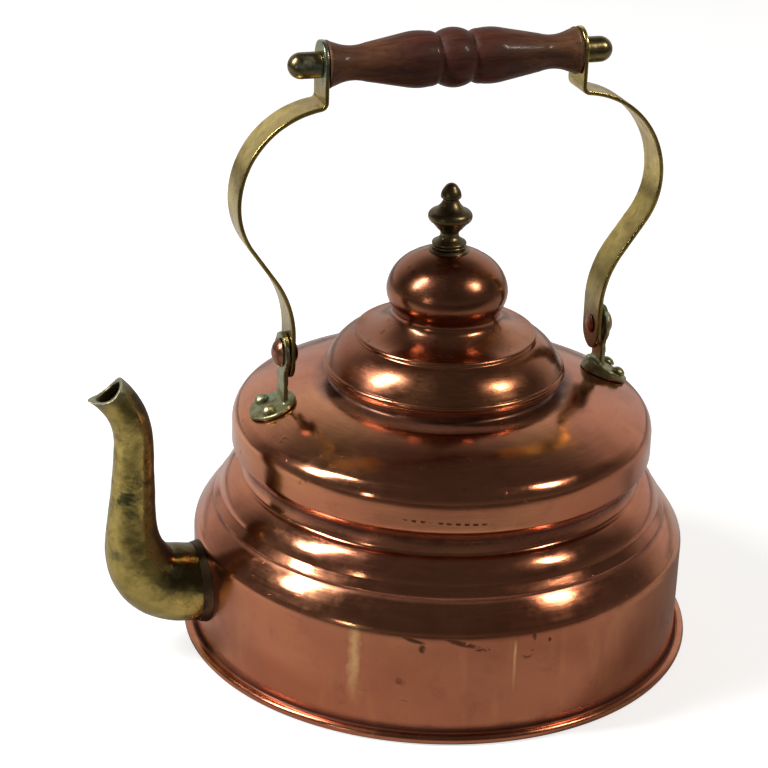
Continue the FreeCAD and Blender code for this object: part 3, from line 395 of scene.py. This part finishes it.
def copper_lid():
    t = Tree("lid_copper")
    ang, rad, z = t.turned()
    slow = t.noise(35.0, 3.0, 0.5)
    cloud = t.noise(95.0, 5.0, 0.6, distortion=0.3)
    base = t.mix(t.ramp(slow, [(0.35, 0.0), (0.68, 1.0)]), (0.56, 0.225, 0.108), (0.42, 0.150, 0.078))
    base = t.mix(t.ramp(cloud, [(0.52, 0.0), (0.75, 0.55)]), base, (0.23, 0.088, 0.044))
    lines_vec = t.join(t.math("MULTIPLY", ang, 0.35), t.math("MULTIPLY", rad, 50.0), t.math("MULTIPLY", z, 55.0))
    lines = t.noise(26.0, 4.0, 0.7, vec=lines_vec)
    # painted shade: the top of the lid darker, where it mirrors the dark overhead
    painted_top_shade = t.ramp(t.math("ADD", z, t.math("MULTIPLY", t.math("SUBTRACT", slow, 0.5), 0.016)), [(0.122, 0.0), (0.140, 0.45)])
    base = t.mix(painted_top_shade, base, (0.30, 0.115, 0.062))
    speck = t.ramp(t.noise(230.0, 2.0, 0.5), [(0.68, 0.0), (0.74, 0.7)])
    base = t.mix(speck, base, (0.10, 0.045, 0.03))
    base = t.mix(t.ramp(lines, [(0.35, 0.22), (0.65, 0.0)]), base, (0.22, 0.09, 0.055))
    rough = t.math("ADD", t.ramp(cloud, [(0.38, 0.15), (0.75, 0.27)]), t.ramp(lines, [(0.3, 0.0), (0.7, 0.06)]))
    n1 = t.bump(t.noise(45.0, 2.0, 0.5), 0.0006, 0.35)
    n2 = t.bump(lines, 0.00006, 0.5, n1)
    return t.finish(base, rough, 1.0, n2)


def patch_at(t):
    return t.noise(170.0, 3.0, 0.6, vec=t.scaled(1, 1, 1, (1.0, 5.0, 8.0)))


def brass(name, light, dark, green, green_amount, rough_lo, rough_hi, lump=0.0004, spots=0.5, spout_shade_lip_and_spots=False, bail=False):
    t = Tree(name)
    slow = t.noise(48.0, 4.0, 0.6, distortion=0.6)
    mottle = t.noise(150.0, 5.0, 0.65, distortion=0.5)
    fine = t.noise(600.0, 3.0, 0.6)
    base = t.mix(t.ramp(slow, [(0.36, 0.0), (0.66, 1.0)]), light, dark)
    base = t.mix(t.ramp(mottle, [(0.50, 0.0), (0.72, spots)]), base, tuple(c * 0.45 for c in dark))
    base = t.mix(t.ramp(fine, [(0.45, 0.0), (0.75, 0.25)]), base, tuple(c * 0.6 for c in dark))
    patch = t.noise(60.0, 4.0, 0.6, vec=t.scaled(1, 1, 1, (4.0, 9.0, 2.0)))
    if bail:
        px, py, pz = t.split()
        # painted shade: the straps darker towards their lower ends, by the lugs
        painted_low_shade = t.ramp(t.math("ADD", pz, t.math("MULTIPLY", t.math("SUBTRACT", slow, 0.5), 0.02)), [(0.122, 0.75), (0.148, 0.0)])
        base = t.mix(painted_low_shade, base, (0.075, 0.042, 0.024))
        tab = t.math("MULTIPLY", t.ramp(pz, [(0.219, 0.0), (0.226, 1.0)]), t.ramp(px, [(-0.046, 1.0), (-0.040, 0.0)]), clamp=True)
        tab = t.math("MULTIPLY", tab, t.ramp(mottle, [(0.40, 0.0), (0.56, 0.85)]), clamp=True)
        base = t.mix(tab, base, (0.30, 0.40, 0.34))
    lip_at = None
    painted_side_shade = None
    if spout_shade_lip_and_spots:
        nx, ny, nz = t.split(t.n("ShaderNodeNewGeometry").outputs["Normal"])
        px, py, pz = t.split()
        # painted shade: the side of the spout that faces the body darker, duller and less metallic, for the shadowed
        # copper it mirrors
        body_side_shade = t.ramp(t.math("ADD", nx, t.math("MULTIPLY", t.math("SUBTRACT", mottle, 0.5), 0.9)), [(0.25, 0.0), (0.75, 0.92)])
        # painted shade: the upward faces of the root, under the elbow, darker
        painted_root_shade = t.math("MULTIPLY", t.ramp(px, [(-0.1165, 0.0), (-0.1105, 1.0)]), t.ramp(t.math("ADD", nz, t.math("MULTIPLY", t.math("SUBTRACT", slow, 0.5), 1.2)), [(-0.15, 0.0), (0.35, 0.85)]), clamp=True)
        painted_side_shade = body_side_shade
        base = t.mix(painted_root_shade, base, (0.070, 0.050, 0.024))
        base = t.mix(painted_side_shade, base, (0.030, 0.020, 0.012))
        spots_at = t.math("MULTIPLY", t.ramp(t.math("ABSOLUTE", t.math("SUBTRACT", pz, 0.070)), [(0.004, 1.0), (0.012, 0.0)]), t.ramp(patch_at(t), [(0.47, 0.0), (0.60, 0.85)]), clamp=True)
        base = t.mix(spots_at, base, (0.045, 0.050, 0.026))
        lip = t.math("ADD", t.math("SUBTRACT", pz, t.math("MULTIPLY", px, 0.55)), t.math("MULTIPLY", t.math("SUBTRACT", mottle, 0.5), 0.006))
        lip_at = t.ramp(lip, [(0.1775, 0.0), (0.1830, 0.85)])
        base = t.mix(lip_at, base, (0.235, 0.250, 0.190))
    verd = t.ramp(patch, [(0.66 - 0.16 * green_amount, 0.0), (0.80 - 0.16 * green_amount, 0.85)])
    base = t.mix(verd, base, green)
    rough = t.ramp(mottle, [(0.35, rough_lo), (0.72, rough_hi)])
    rough = t.math("ADD", rough, t.math("MULTIPLY", verd, 0.3))
    metal = t.math("SUBTRACT", 1.0, t.math("MULTIPLY", verd, 0.45))
    # the painted side shade is also rougher and less metallic
    if painted_side_shade is not None:
        rough = t.math("ADD", rough, t.math("MULTIPLY", painted_side_shade, 0.22))
        metal = t.math("SUBTRACT", metal, t.math("MULTIPLY", painted_side_shade, 0.80), clamp=True)
    if lip_at is not None:
        rough = t.math("ADD", rough, t.math("MULTIPLY", lip_at, 0.15))
        metal = t.math("SUBTRACT", metal, t.math("MULTIPLY", lip_at, 0.55), clamp=True)
    n1 = t.bump(slow, lump, 0.5)
    n2 = t.bump(mottle, 0.00018, 0.5, n1)
    return t.finish(base, rough, metal, n2)


def wood():
    t = Tree("grip_wood")
    x, y, z = t.split()
    grain_vec = t.scaled(9.0, 1.0, 1.0)
    long_vec = t.join(t.math("MULTIPLY", x, 0.10), y, z)
    rings = t.noise(260.0, 5.0, 0.62, vec=long_vec, distortion=0.8)
    pores_vec = t.join(t.math("MULTIPLY", x, 0.06), y, z)
    pores = t.noise(1500.0, 2.0, 0.6, vec=pores_vec)
    slow = t.noise(40.0, 3.0, 0.5, vec=long_vec)
    base = t.mix(t.ramp(rings, [(0.36, 0.0), (0.66, 1.0)]), (0.120, 0.034, 0.018), (0.048, 0.013, 0.008))
    ends = t.math("ABSOLUTE", t.math("ADD", x, 0.0016))
    tone = t.math("MULTIPLY", t.ramp(ends, [(0.014, 0.0), (0.040, 0.75)]), t.ramp(slow, [(0.3, 0.5), (0.7, 1.0)]), clamp=True)
    lighter = t.mix(t.ramp(rings, [(0.36, 0.0), (0.66, 1.0)]), (0.225, 0.105, 0.042), (0.090, 0.040, 0.018))
    base = t.mix(tone, base, lighter)
    base = t.mix(t.ramp(pores, [(0.55, 0.0), (0.72, 0.6)]), base, (0.030, 0.010, 0.006))
    rough = t.ramp(rings, [(0.3, 0.50), (0.7, 0.62)])
    t.bsdf.inputs["Specular IOR Level"].default_value = 0.25
    n1 = t.bump(rings, 0.00022, 0.5)
    n2 = t.bump(pores, 0.0001, 0.5, n1)
    return t.finish(base, rough, 0.0, n2, coat=0.14, coat_rough=0.14)


def solder():
    t = Tree("solder")
    mottle = t.noise(160.0, 5.0, 0.65, distortion=0.5)
    base = t.mix(t.ramp(mottle, [(0.4, 0.0), (0.7, 1.0)]), (0.13, 0.080, 0.042), (0.055, 0.032, 0.020))
    return t.finish(base, t.ramp(mottle, [(0.3, 0.32), (0.7, 0.5)]), 1.0, t.bump(mottle, 0.0003, 0.6))


M_BODY = copper_body()
M_LID = copper_lid()
M_SPOUT = brass("spout_brass", (0.70, 0.53, 0.155), (0.37, 0.280, 0.085), (0.045, 0.055, 0.030), 0.45, 0.17, 0.34, 0.0009, 0.75, True)
M_STRAP = brass("strap_brass", (0.86, 0.66, 0.20), (0.44, 0.315, 0.095), (0.24, 0.30, 0.20), 0.14, 0.20, 0.36, 0.0005, 0.5, False, True)
M_LUG = brass("lug_brass", (0.44, 0.41, 0.21), (0.21, 0.20, 0.105), (0.25, 0.33, 0.21), 0.9, 0.26, 0.46, 0.0009, 0.5)
M_NUT = brass("nut_brass", (0.31, 0.24, 0.11), (0.15, 0.115, 0.055), (0.26, 0.33, 0.27), 0.35, 0.22, 0.38, 0.0003, 0.5)
M_KNOB = brass("knob_brass", (0.27, 0.205, 0.100), (0.13, 0.098, 0.052), (0.06, 0.055, 0.035), 0.2, 0.26, 0.42, 0.0003, 0.45)
M_RIVET = brass("rivet_copper", (0.52, 0.235, 0.145), (0.30, 0.125, 0.08), (0.12, 0.10, 0.07), 0.15, 0.24, 0.40, 0.0004, 0.5)
M_SOLDER = solder()
M_WOOD = wood()

# ------------------------------------------------------------------ body
BODY = [
    (45.4, 106.1), ("L", (44.2, 106.1)), ("A", (43.493, 105.807), (43.2, 105.1)), ("L", (43.2, 104.2)),
    ("A", (43.63, 103.16), (44.7, 102.75)), ("A", (63.5, 99.2), (78.0, 92.9)), ("A", (80.45, 89.75), (81.3, 85.0)),
    ("L", (81.3, 78.0)), ("A", (81.174, 77.217), (80.81, 76.513)), ("L", (76.6, 71.0)), ("L", (77.6, 67.2)),
    ("A", (78.1, 66.35), (79.0, 65.9)), ("A", (82.95, 62.7), (85.8, 57.6)), ("L", (88.3, 54.4)), ("L", (88.0, 53.3)),
    ("A", (91.65, 49.35), (94.2, 45.6)), ("A", (95.5, 43.25), (95.95, 40.0)), ("L", (95.95, 3.6)),
    ("A", (96.30, 2.75), (97.15, 2.4)), ("L", (98.9, 2.4)),
]


def sheet_ring(chain, gauge, side, corner):
    outer = sample(chain)
    inner = offset(outer, gauge, side)
    return soften(outer + inner[::-1], corner, closed=True)


def body_wave(co):
    # none at the rim, the foot seam or the spout hole, full in between
    r = math.hypot(co.x, co.y)
    if co.z > 101 or co.z < 5 or r < 46:
        return 0.0
    k = min(1.0, (101 - co.z) / 5.0, (co.z - 5) / 6.0)
    return k * dents(co, 0.30, 0.028, 11.0)


body = lathe("body_skin", sheet_ring(BODY, 1.2, -1, 0.35), 288, body_wave, mat=M_BODY)

# the round hole where the spout enters
cut = lathe("hole_tool", [(0, -16), (13.25, -16), (13.25, 16), (0, 16)], 64,
            matrix=Matrix.Translation(Vector((-98, 0, 27.2)) * MM) @ Matrix.Rotation(math.radians(90), 4, "Y"))
mod = body.modifiers.new("hole", "BOOLEAN")
mod.operation = "DIFFERENCE"
mod.object = cut
mod.solver = "EXACT"
bpy.context.view_layer.update()
whole = bpy.data.meshes.new_from_object(body.evaluated_get(bpy.context.evaluated_depsgraph_get()))
body.modifiers.clear()
body.data = whole
for f in whole.polygons:
    f.use_smooth = True
bpy.data.objects.remove(cut)
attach(body, "kettle")
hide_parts("body_shell")

# the base and its rolled bead
bead = [(0, 0), ("L", (98.2, 0)), ("A", (100.0, 1.8), (98.2, 3.6)), ("L", (97.35, 3.6)), ("L", (97.35, 2.4)),
        ("L", (98.9, 2.4)), ("L", (98.9, 1.2)), ("L", (0, 1.2))]
base_pts = sample(bead, 2.5)
base = lathe("base_disc", soften(base_pts, 0.25), 288, mat=M_BODY)
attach(base, "kettle")
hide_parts("bottom_plate")

# ------------------------------------------------------------------ lid
LID = [
    (46.4, 108.4), ("L", (45.95, 108.5)), ("A", (46.05, 109.75), (45.05, 110.45)), ("L", (44.85, 110.9)),
    ("L", (44.6, 111.4)), ("A", (40.85, 116.9), (35.1, 121.0)), ("L", (34.75, 121.35)),
    ("A", (34.65, 122.45), (33.7, 122.95)), ("A", (27.31, 124.41), (21.76, 127.91)),
    ("A", (20.46, 130.42), (21.14, 133.16)), ("A", (22.67, 136.37), (23.1, 139.9)), ("A", (20.9, 146.4), (15.2, 151.8)), ("A", (11.1, 153.85), (6.6, 155.2)),
    ("L", (2.15, 155.2)),
]


def lid_wave(co):
    return dents(co, 0.14, 0.05, 5.0) if 112 < co.z < 152 else 0.0


lid = lathe("lid_skin", sheet_ring(LID, 1.0, 1, 0.3), 256, lid_wave, mat=M_LID)
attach(lid, "lid")
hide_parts("lid_cover")


# ------------------------------------------------------------------ knob
def S(dz):
    return 156.1 + dz


FINIAL = [
    (0, S(0)), ("L", (6.0, S(0))), ("A", (6.55, S(.65)), (6.0, S(1.3))), ("A", (6.55, S(2.0)), (5.9, S(2.65))),
    ("L", (5.3, S(3.1))), ("A", (4.05, S(3.95)), (3.5, S(5.2))), ("A", (3.75, S(6.4)), (4.7, S(7.5))),
    ("L", (6.9, S(10.1))), ("A", (8.35, S(12.85)), (7.3, S(14.45))), ("A", (4.7, S(16.1)), (3.0, S(18.5))),
    ("L", (3.05, S(19.1))), ("L", (3.9, S(19.8))), ("A", (3.65, S(21.8)), (2.6, S(23.6))),
    ("A", (1.35, S(24.95)), (0, S(25.3))),
]
finial = lathe("knob", soften(sample(FINIAL, 0.5) , 0.3), 96, mat=M_KNOB)
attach(finial, "lid")
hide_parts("finial")
washer_pts = [(2.15, 154.85), ("L", (7.6, 154.85)), ("A", (7.75, 155.2), (7.4, 155.6)), ("L", (6.9, 156.1)), ("L", (2.15, 156.1))]
washer = lathe("knob_washer", soften(sample(washer_pts, 0.8), 0.15, closed=True), 96, mat=M_KNOB)
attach(washer, "lid")
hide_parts("finial_washer")

# ------------------------------------------------------------------ grip and its nuts
GX = -1.6
GZ = 229.4
HALF = 48.35
side_profile = [
    (8.95, 6.4), ("A", (9.7, 7.6), (10.1, 9.9)), ("A", (10.4, 13.2), (9.85, 18.8)), ("L", (7.1, 33.2)),
    ("A", (6.35, 38.6), (7.1, 43.2)), ("L", (8.45, HALF - 1.4)), ("A", (8.78, HALF - .55), (8.1, HALF)),
]
right = sample(side_profile, 0.8)
left = [(r, -x) for r, x in right][::-1]
centre = arc_points((8.95, -6.4), (11.0, 0.0), (8.95, 6.4), 0.6)
grip_pts = [(2.8, -HALF)] + left + centre[:-1] + right + [(2.8, HALF)]
grip_pts = soften(grip_pts, 0.3, closed=True, limit=14)
ALONG_X = Matrix.Rotation(math.radians(90), 4, "Y")


def grip_wave(co):
    return dents(co, 0.10, 0.07, 21.0)


grip = lathe("grip_turned", grip_pts, 128, grip_wave,
             matrix=Matrix.Translation(Vector((GX, 0, GZ)) * MM) @ ALONG_X, mat=M_WOOD)
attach(grip, "grip")
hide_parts("wooden_grip")

nut_pts = [(0, 0), ("L", (4.55, 0)), ("L", (4.85, 0.35)), ("L", (4.85, 7.0)), ("A", (4.85 * math.cos(math.pi / 4), 7.0 + 4.85 * math.sin(math.pi / 4)), (0, 11.85))]
for side, sgn in (("spout_side", -1), ("back", 1)):
    turn = Matrix.Rotation(math.pi, 4, "Z") if sgn < 0 else Matrix.Identity(4)
    m = Matrix.Translation(Vector((GX + sgn * 50.35, 0, GZ)) * MM) @ turn @ ALONG_X
    nut = lathe(side + "_nut_dome", soften(sample(nut_pts, 0.5), 0.2), 96, lambda co: dents(co, 0.08, 0.2, 2.0) if co.z > 1 else 0.0, matrix=m, mat=M_NUT)
    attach(nut, "bail")
    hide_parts(side + "_dome_nut")


# ------------------------------------------------------------------ straps
def strap_mesh(side, sgn, tab):
    line = [
        (61.35, 109.8), ("L", (61.35, 127.8)), ("A", (63.22, 139.9), (68.67, 150.86)), ("L", (76.77, 162.42)),
        ("A", (80.92, 170.78), (82.35, 180.0)), ("A", (73.54, 203.25), (tab + 2.05, 214.83)),
        ("A", (tab + 0.586, 215.60), (tab, 217.15)), ("L", (tab, 238.4)),
    ]
    pts = sample(line, 1.0)
    # finer rows near both rounded ends
    dist = [0.0]
    for a, b in zip(pts, pts[1:]):
        dist.append(dist[-1] + math.hypot(b[0] - a[0], b[1] - a[1]))
    total = dist[-1]

    def at(s):
        for i in range(1, len(dist)):
            if s <= dist[i] + 1e-9:
                t = (s - dist[i - 1]) / (dist[i] - dist[i - 1])
                a, b = pts[i - 1], pts[i]
                p = (a[0] + (b[0] - a[0]) * t, a[1] + (b[1] - a[1]) * t)
                pa, pb = pts[max(0, i - 2)], pts[min(len(pts) - 1, i + 1)]
                return p, unit(pb[0] - pa[0], pb[1] - pa[1])
        return pts[-1], unit(pts[-1][0] - pts[-2][0], pts[-1][1] - pts[-2][1])

    r, half = 7.6, 7.6
    ends = [r * (1 - math.cos(math.radians(a))) for a in (9, 16, 24, 33, 42, 52, 62, 73, 84)]
    rows = sorted(ends + [r + 0.75 * k for k in range(int((total - 2 * r) / 0.75) + 1)] + [total - e for e in ends])
    th = 0.85
    edge = 0.42
    bm = bmesh.new()
    rings = []
    across = 14
    for s in rows:
        (px, pz), (tx, tz) = at(s)
        e = min(s, total - s)
        w = half if e >= r else math.sqrt(max(0.0, r * r - (r - e) ** 2))
        wear = 0.16 * noise.noise(Vector((px * 0.06 * sgn, 3.3, pz * 0.06))) + 0.06 * noise.noise(Vector((px * 0.3 * sgn, 1.3, pz * 0.3)))
        w = min(half, max(0.9, w - abs(wear)))
        k = min(edge, w * 0.4)
        outline = []
        # one side of the section, inner face first, then the outer face
        ys = [-w + k + (2 * (w - k)) * j / across for j in range(across + 1)]
        outline += [(y, -th) for y in ys]
        outline += [(w - k + k * math.sin(a), -th + k - k * math.cos(a)) for a in (math.radians(30), math.radians(60), math.radians(90))]
        outline += [(w - k + k * math.cos(a), th - k + k * math.sin(a)) for a in (0.0, math.radians(30), math.radians(60))]
        outline += [(y, th) for y in ys[::-1]]
        outline += [(-w + k - k * math.sin(a), th - k + k * math.cos(a)) for a in (math.radians(30), math.radians(60), math.radians(90))]
        outline += [(-w + k - k * math.cos(a), -th + k - k * math.sin(a)) for a in (0.0, math.radians(30), math.radians(60))]
        ring = []
        for y, n in outline:
            d = 0.07 * noise.noise(Vector((px * 0.13 * sgn, y * 0.16, pz * 0.13)))
            nn = n * (1.0 - 0.04) + (d - 0.04 if n > 0 else 0.04 - d) * 0.5
            x = px - 0.0 + tz * nn
            z = pz - tx * nn
            p = Vector((sgn * x - 0.7, sgn * y if sgn > 0 else -y, z))
            ring.append(bm.verts.new(p * MM))
        rings.append(ring)
    m = len(rings[0])
    for a, b in zip(rings, rings[1:]):
        for j in range(m):
            bm.faces.new((a[j], a[(j + 1) % m], b[(j + 1) % m], b[j]))
    bm.faces.new(rings[0])
    bm.faces.new(rings[-1])
    bmesh.ops.recalc_face_normals(bm, faces=bm.faces)
    for f in bm.faces:
        f.smooth = len(f.verts) == 4
    me = bpy.data.meshes.new(side + "_strap_bent")
    bm.to_mesh(me)
    bm.free()
    me.materials.append(M_STRAP)
    o = new_object(side + "_strap_bent", me)
    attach(o, "bail")
    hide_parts(side + "_strap")
    return o


strap_mesh("spout_side", -1, 50.4)
strap_mesh("back", 1, 48.6)


# ------------------------------------------------------------------ cast pieces kept from the frame
def lumpy(node, voxel, smooth, amount, size, seed):
    """Softens the edges of a cast piece and gives its skin a slight unevenness."""
    o = NODES[node]
    r = o.modifiers.new("skin", "REMESH")
    r.mode = "VOXEL"
    r.voxel_size = voxel * MM
    r.use_smooth_shade = True
    s = o.modifiers.new("soft", "SMOOTH")
    s.factor = 0.5
    s.iterations = smooth
    tex = bpy.data.textures.new(node + "_skin", "CLOUDS")
    tex.noise_scale = size * MM
    tex.noise_depth = 2
    d = o.modifiers.new("uneven", "DISPLACE")
    d.texture = tex
    d.texture_coords = "LOCAL"
    d.strength = amount * MM
    d.mid_level = 0.75


def paint(node, mat):
    o = NODES[node]
    o.data.materials.clear()
    o.data.materials.append(mat)


lumpy("spout", 0.42, 2, 0.30, 9.0, 1)
lumpy("spout_side_lug", 0.4, 5, 0.7, 4.0, 2)
lumpy("back_lug", 0.4, 5, 0.7, 4.0, 3)
lumpy("spout_side_foot_rivets", 0.25, 4, 0.35, 2.5, 4)
lumpy("back_foot_rivets", 0.25, 4, 0.35, 2.5, 5)
lumpy("spout_side_pivot_rivet", 0.25, 3, 0.3, 3.0, 6)
lumpy("back_pivot_rivet", 0.25, 3, 0.3, 3.0, 7)
for node, mat in (
    ("spout", M_SPOUT), ("spout_solder", M_SOLDER), ("spout_side_lug", M_LUG), ("back_lug", M_LUG),
    ("spout_side_foot_rivets", M_LUG), ("back_foot_rivets", M_LUG), ("spout_side_pivot_rivet", M_RIVET),
    ("back_pivot_rivet", M_RIVET), ("handle_rod", M_STRAP), ("lid_sleeve", M_LID), ("finial_nut", M_KNOB),
    ("body_shell", M_BODY), ("bottom_plate", M_BODY), ("lid_cover", M_LID), ("finial", M_KNOB),
    ("finial_washer", M_KNOB), ("wooden_grip", M_WOOD), ("spout_side_strap", M_STRAP), ("back_strap", M_STRAP),
    ("spout_side_dome_nut", M_NUT), ("back_dome_nut", M_NUT),
):
    paint(node, mat)

# ------------------------------------------------------------------ stage
floor_mat = Tree("floor_paper")
tooth = floor_mat.ramp(floor_mat.noise(900.0, 2.0, 0.5), [(0.3, 0.0), (0.7, 0.03)])
fx, fy, fz = floor_mat.split()
ahead = floor_mat.math("ADD", floor_mat.math("MULTIPLY", fx, -0.3155), floor_mat.math("MULTIPLY", fy, -0.949))
# painted shade: the paper dark ahead of the kettle and paler behind it, only for what the copper mirrors
painted_dark_ahead = floor_mat.ramp(ahead, [(0.14, 0.0), (0.34, 1.0)])
painted_pale_behind = floor_mat.ramp(ahead, [(-0.25, 1.0), (-0.05, 0.0)])
paper = floor_mat.mix(painted_pale_behind, (0.52, 0.515, 0.51), (0.80, 0.795, 0.79))
M_FLOOR = floor_mat.finish(floor_mat.mix(tooth, floor_mat.mix(painted_dark_ahead, paper, (0.09, 0.088, 0.086)), (0.40, 0.40, 0.40)), 0.85, 0.0)
floor_mat.bsdf.inputs["Specular IOR Level"].default_value = 0.1
# painted light: the paper glows for camera rays only, so that it reads as plain white
seen = floor_mat.n("ShaderNodeLightPath").outputs["Is Camera Ray"]
floor_mat.put(floor_mat.bsdf.inputs["Emission Color"], floor_mat.mix(seen, (0.0, 0.0, 0.0), (0.72, 0.72, 0.715)))
floor_mat.bsdf.inputs["Emission Strength"].default_value = 1.0
bm = bmesh.new()
bmesh.ops.create_grid(bm, x_segments=8, y_segments=8, size=6.0)
for v in bm.verts:
    v.co.z = -0.00002
me = bpy.data.meshes.new("floor")
bm.to_mesh(me)
bm.free()
me.materials.append(M_FLOOR)
floor = new_object("floor", me)


def aim(obj, place, target):
    obj.location = Vector(place)
    d = Vector(target) - Vector(place)
    obj.rotation_euler = d.to_track_quat("-Z", "Y").to_euler()


def softbox(name, az, el, dist, width, height, power, color=(1, 1, 1), target=(0, 0, 0.09)):
    a, e = math.radians(az), math.radians(el)
    place = (target[0] + dist * math.sin(a) * math.cos(e), target[1] - dist * math.cos(a) * math.cos(e), target[2] + dist * math.sin(e))
    light = bpy.data.lights.new(name, "AREA")
    light.shape = "RECTANGLE"
    light.size = width
    light.size_y = height
    light.energy = power
    light.color = color
    o = bpy.data.objects.new(name, light)
    SCENE.collection.objects.link(o)
    aim(o, place, target)
    return o


softbox("left_box", -94, 43, 1.15, 0.17, 0.56, 12.5, (0.97, 0.98, 1.0))
softbox("right_box", 50, 42, 1.15, 0.09, 0.24, 3.6, (1.0, 0.92, 0.80))
softbox("low_left_box", -56, 9, 1.15, 0.05, 0.08, 0.35, (1.0, 0.95, 0.88))

world = bpy.data.worlds.new("studio")
SCENE.world = world
world.use_nodes = True
wt = world.node_tree
wt.nodes.clear()
w_out = wt.nodes.new("ShaderNodeOutputWorld")
w_bg = wt.nodes.new("ShaderNodeBackground")
wt.links.new(w_bg.outputs[0], w_out.inputs[0])
w_co = wt.nodes.new("ShaderNodeTexCoord")
w_sep = wt.nodes.new("ShaderNodeSeparateXYZ")
wt.links.new(w_co.outputs["Generated"], w_sep.inputs[0])


def w_math(op, a, b=0.0):
    m = wt.nodes.new("ShaderNodeMath")
    m.operation = op
    for i, v in enumerate((a, b)):
        if isinstance(v, bpy.types.NodeSocket):
            wt.links.new(v, m.inputs[i])
        else:
            m.inputs[i].default_value = v
    return m.outputs[0]


def w_range(src, a, b, lo, hi):
    m = wt.nodes.new("ShaderNodeMapRange")
    m.interpolation_type = "SMOOTHSTEP"
    wt.links.new(src, m.inputs["Value"])
    for k, v in (("From Min", a), ("From Max", b), ("To Min", lo), ("To Max", hi)):
        m.inputs[k].default_value = v
    return m.outputs["Result"]


# how far a direction points to the front of the kettle, where the camera stands
front = w_math("ADD", w_math("MULTIPLY", w_sep.outputs[0], -0.34), w_math("MULTIPLY", w_sep.outputs[1], -0.94))
low = w_range(w_sep.outputs[2], 0.02, 0.34, 0.06, 0.0)
back_top = w_range(w_sep.outputs[2], 0.45, 0.90, 1.0, 0.0)
back_level = w_math("MULTIPLY", w_range(front, -0.85, -0.22, 0.56, 0.0), back_top)
level = w_math("ADD", w_math("MAXIMUM", low, back_level), 0.062)
wt.links.new(level, w_bg.inputs["Strength"])
w_bg.inputs["Color"].default_value = (1.0, 0.985, 0.965, 1.0)

SCENE.view_settings.view_transform = "Standard"
SCENE.view_settings.look = "None"
SCENE.view_settings.exposure = 0.0
SCENE.view_settings.gamma = 1.0

# ------------------------------------------------------------------ camera
th, pitch, roll = math.radians(18.388), math.radians(23.46), math.radians(1.85)
right0 = Vector((math.cos(th), -math.sin(th), 0))
fwd0 = Vector((math.sin(th), math.cos(th), 0))
up0 = Vector((0, 0, 1))
fwd = fwd0 * math.cos(pitch) - up0 * math.sin(pitch)
up = fwd0 * math.sin(pitch) + up0 * math.cos(pitch)
cam_x = right0 * math.cos(roll) + up * math.sin(roll)
cam_y = -right0 * math.sin(roll) + up * math.cos(roll)
cam_data = bpy.data.cameras.new("camera")
cam_data.lens = 2285.0 / 768.0 * 36.0
cam_data.sensor_width = 36.0
cam_data.clip_start = 0.05
cam_data.clip_end = 50.0
cam = bpy.data.objects.new("camera", cam_data)
SCENE.collection.objects.link(cam)
m = Matrix((
    (cam_x.x, cam_y.x, -fwd.x, -0.27655),
    (cam_x.y, cam_y.y, -fwd.y, -0.75984),
    (cam_x.z, cam_y.z, -fwd.z, 0.44990),
    (0, 0, 0, 1),
))
cam.matrix_world = m
SCENE.camera = cam
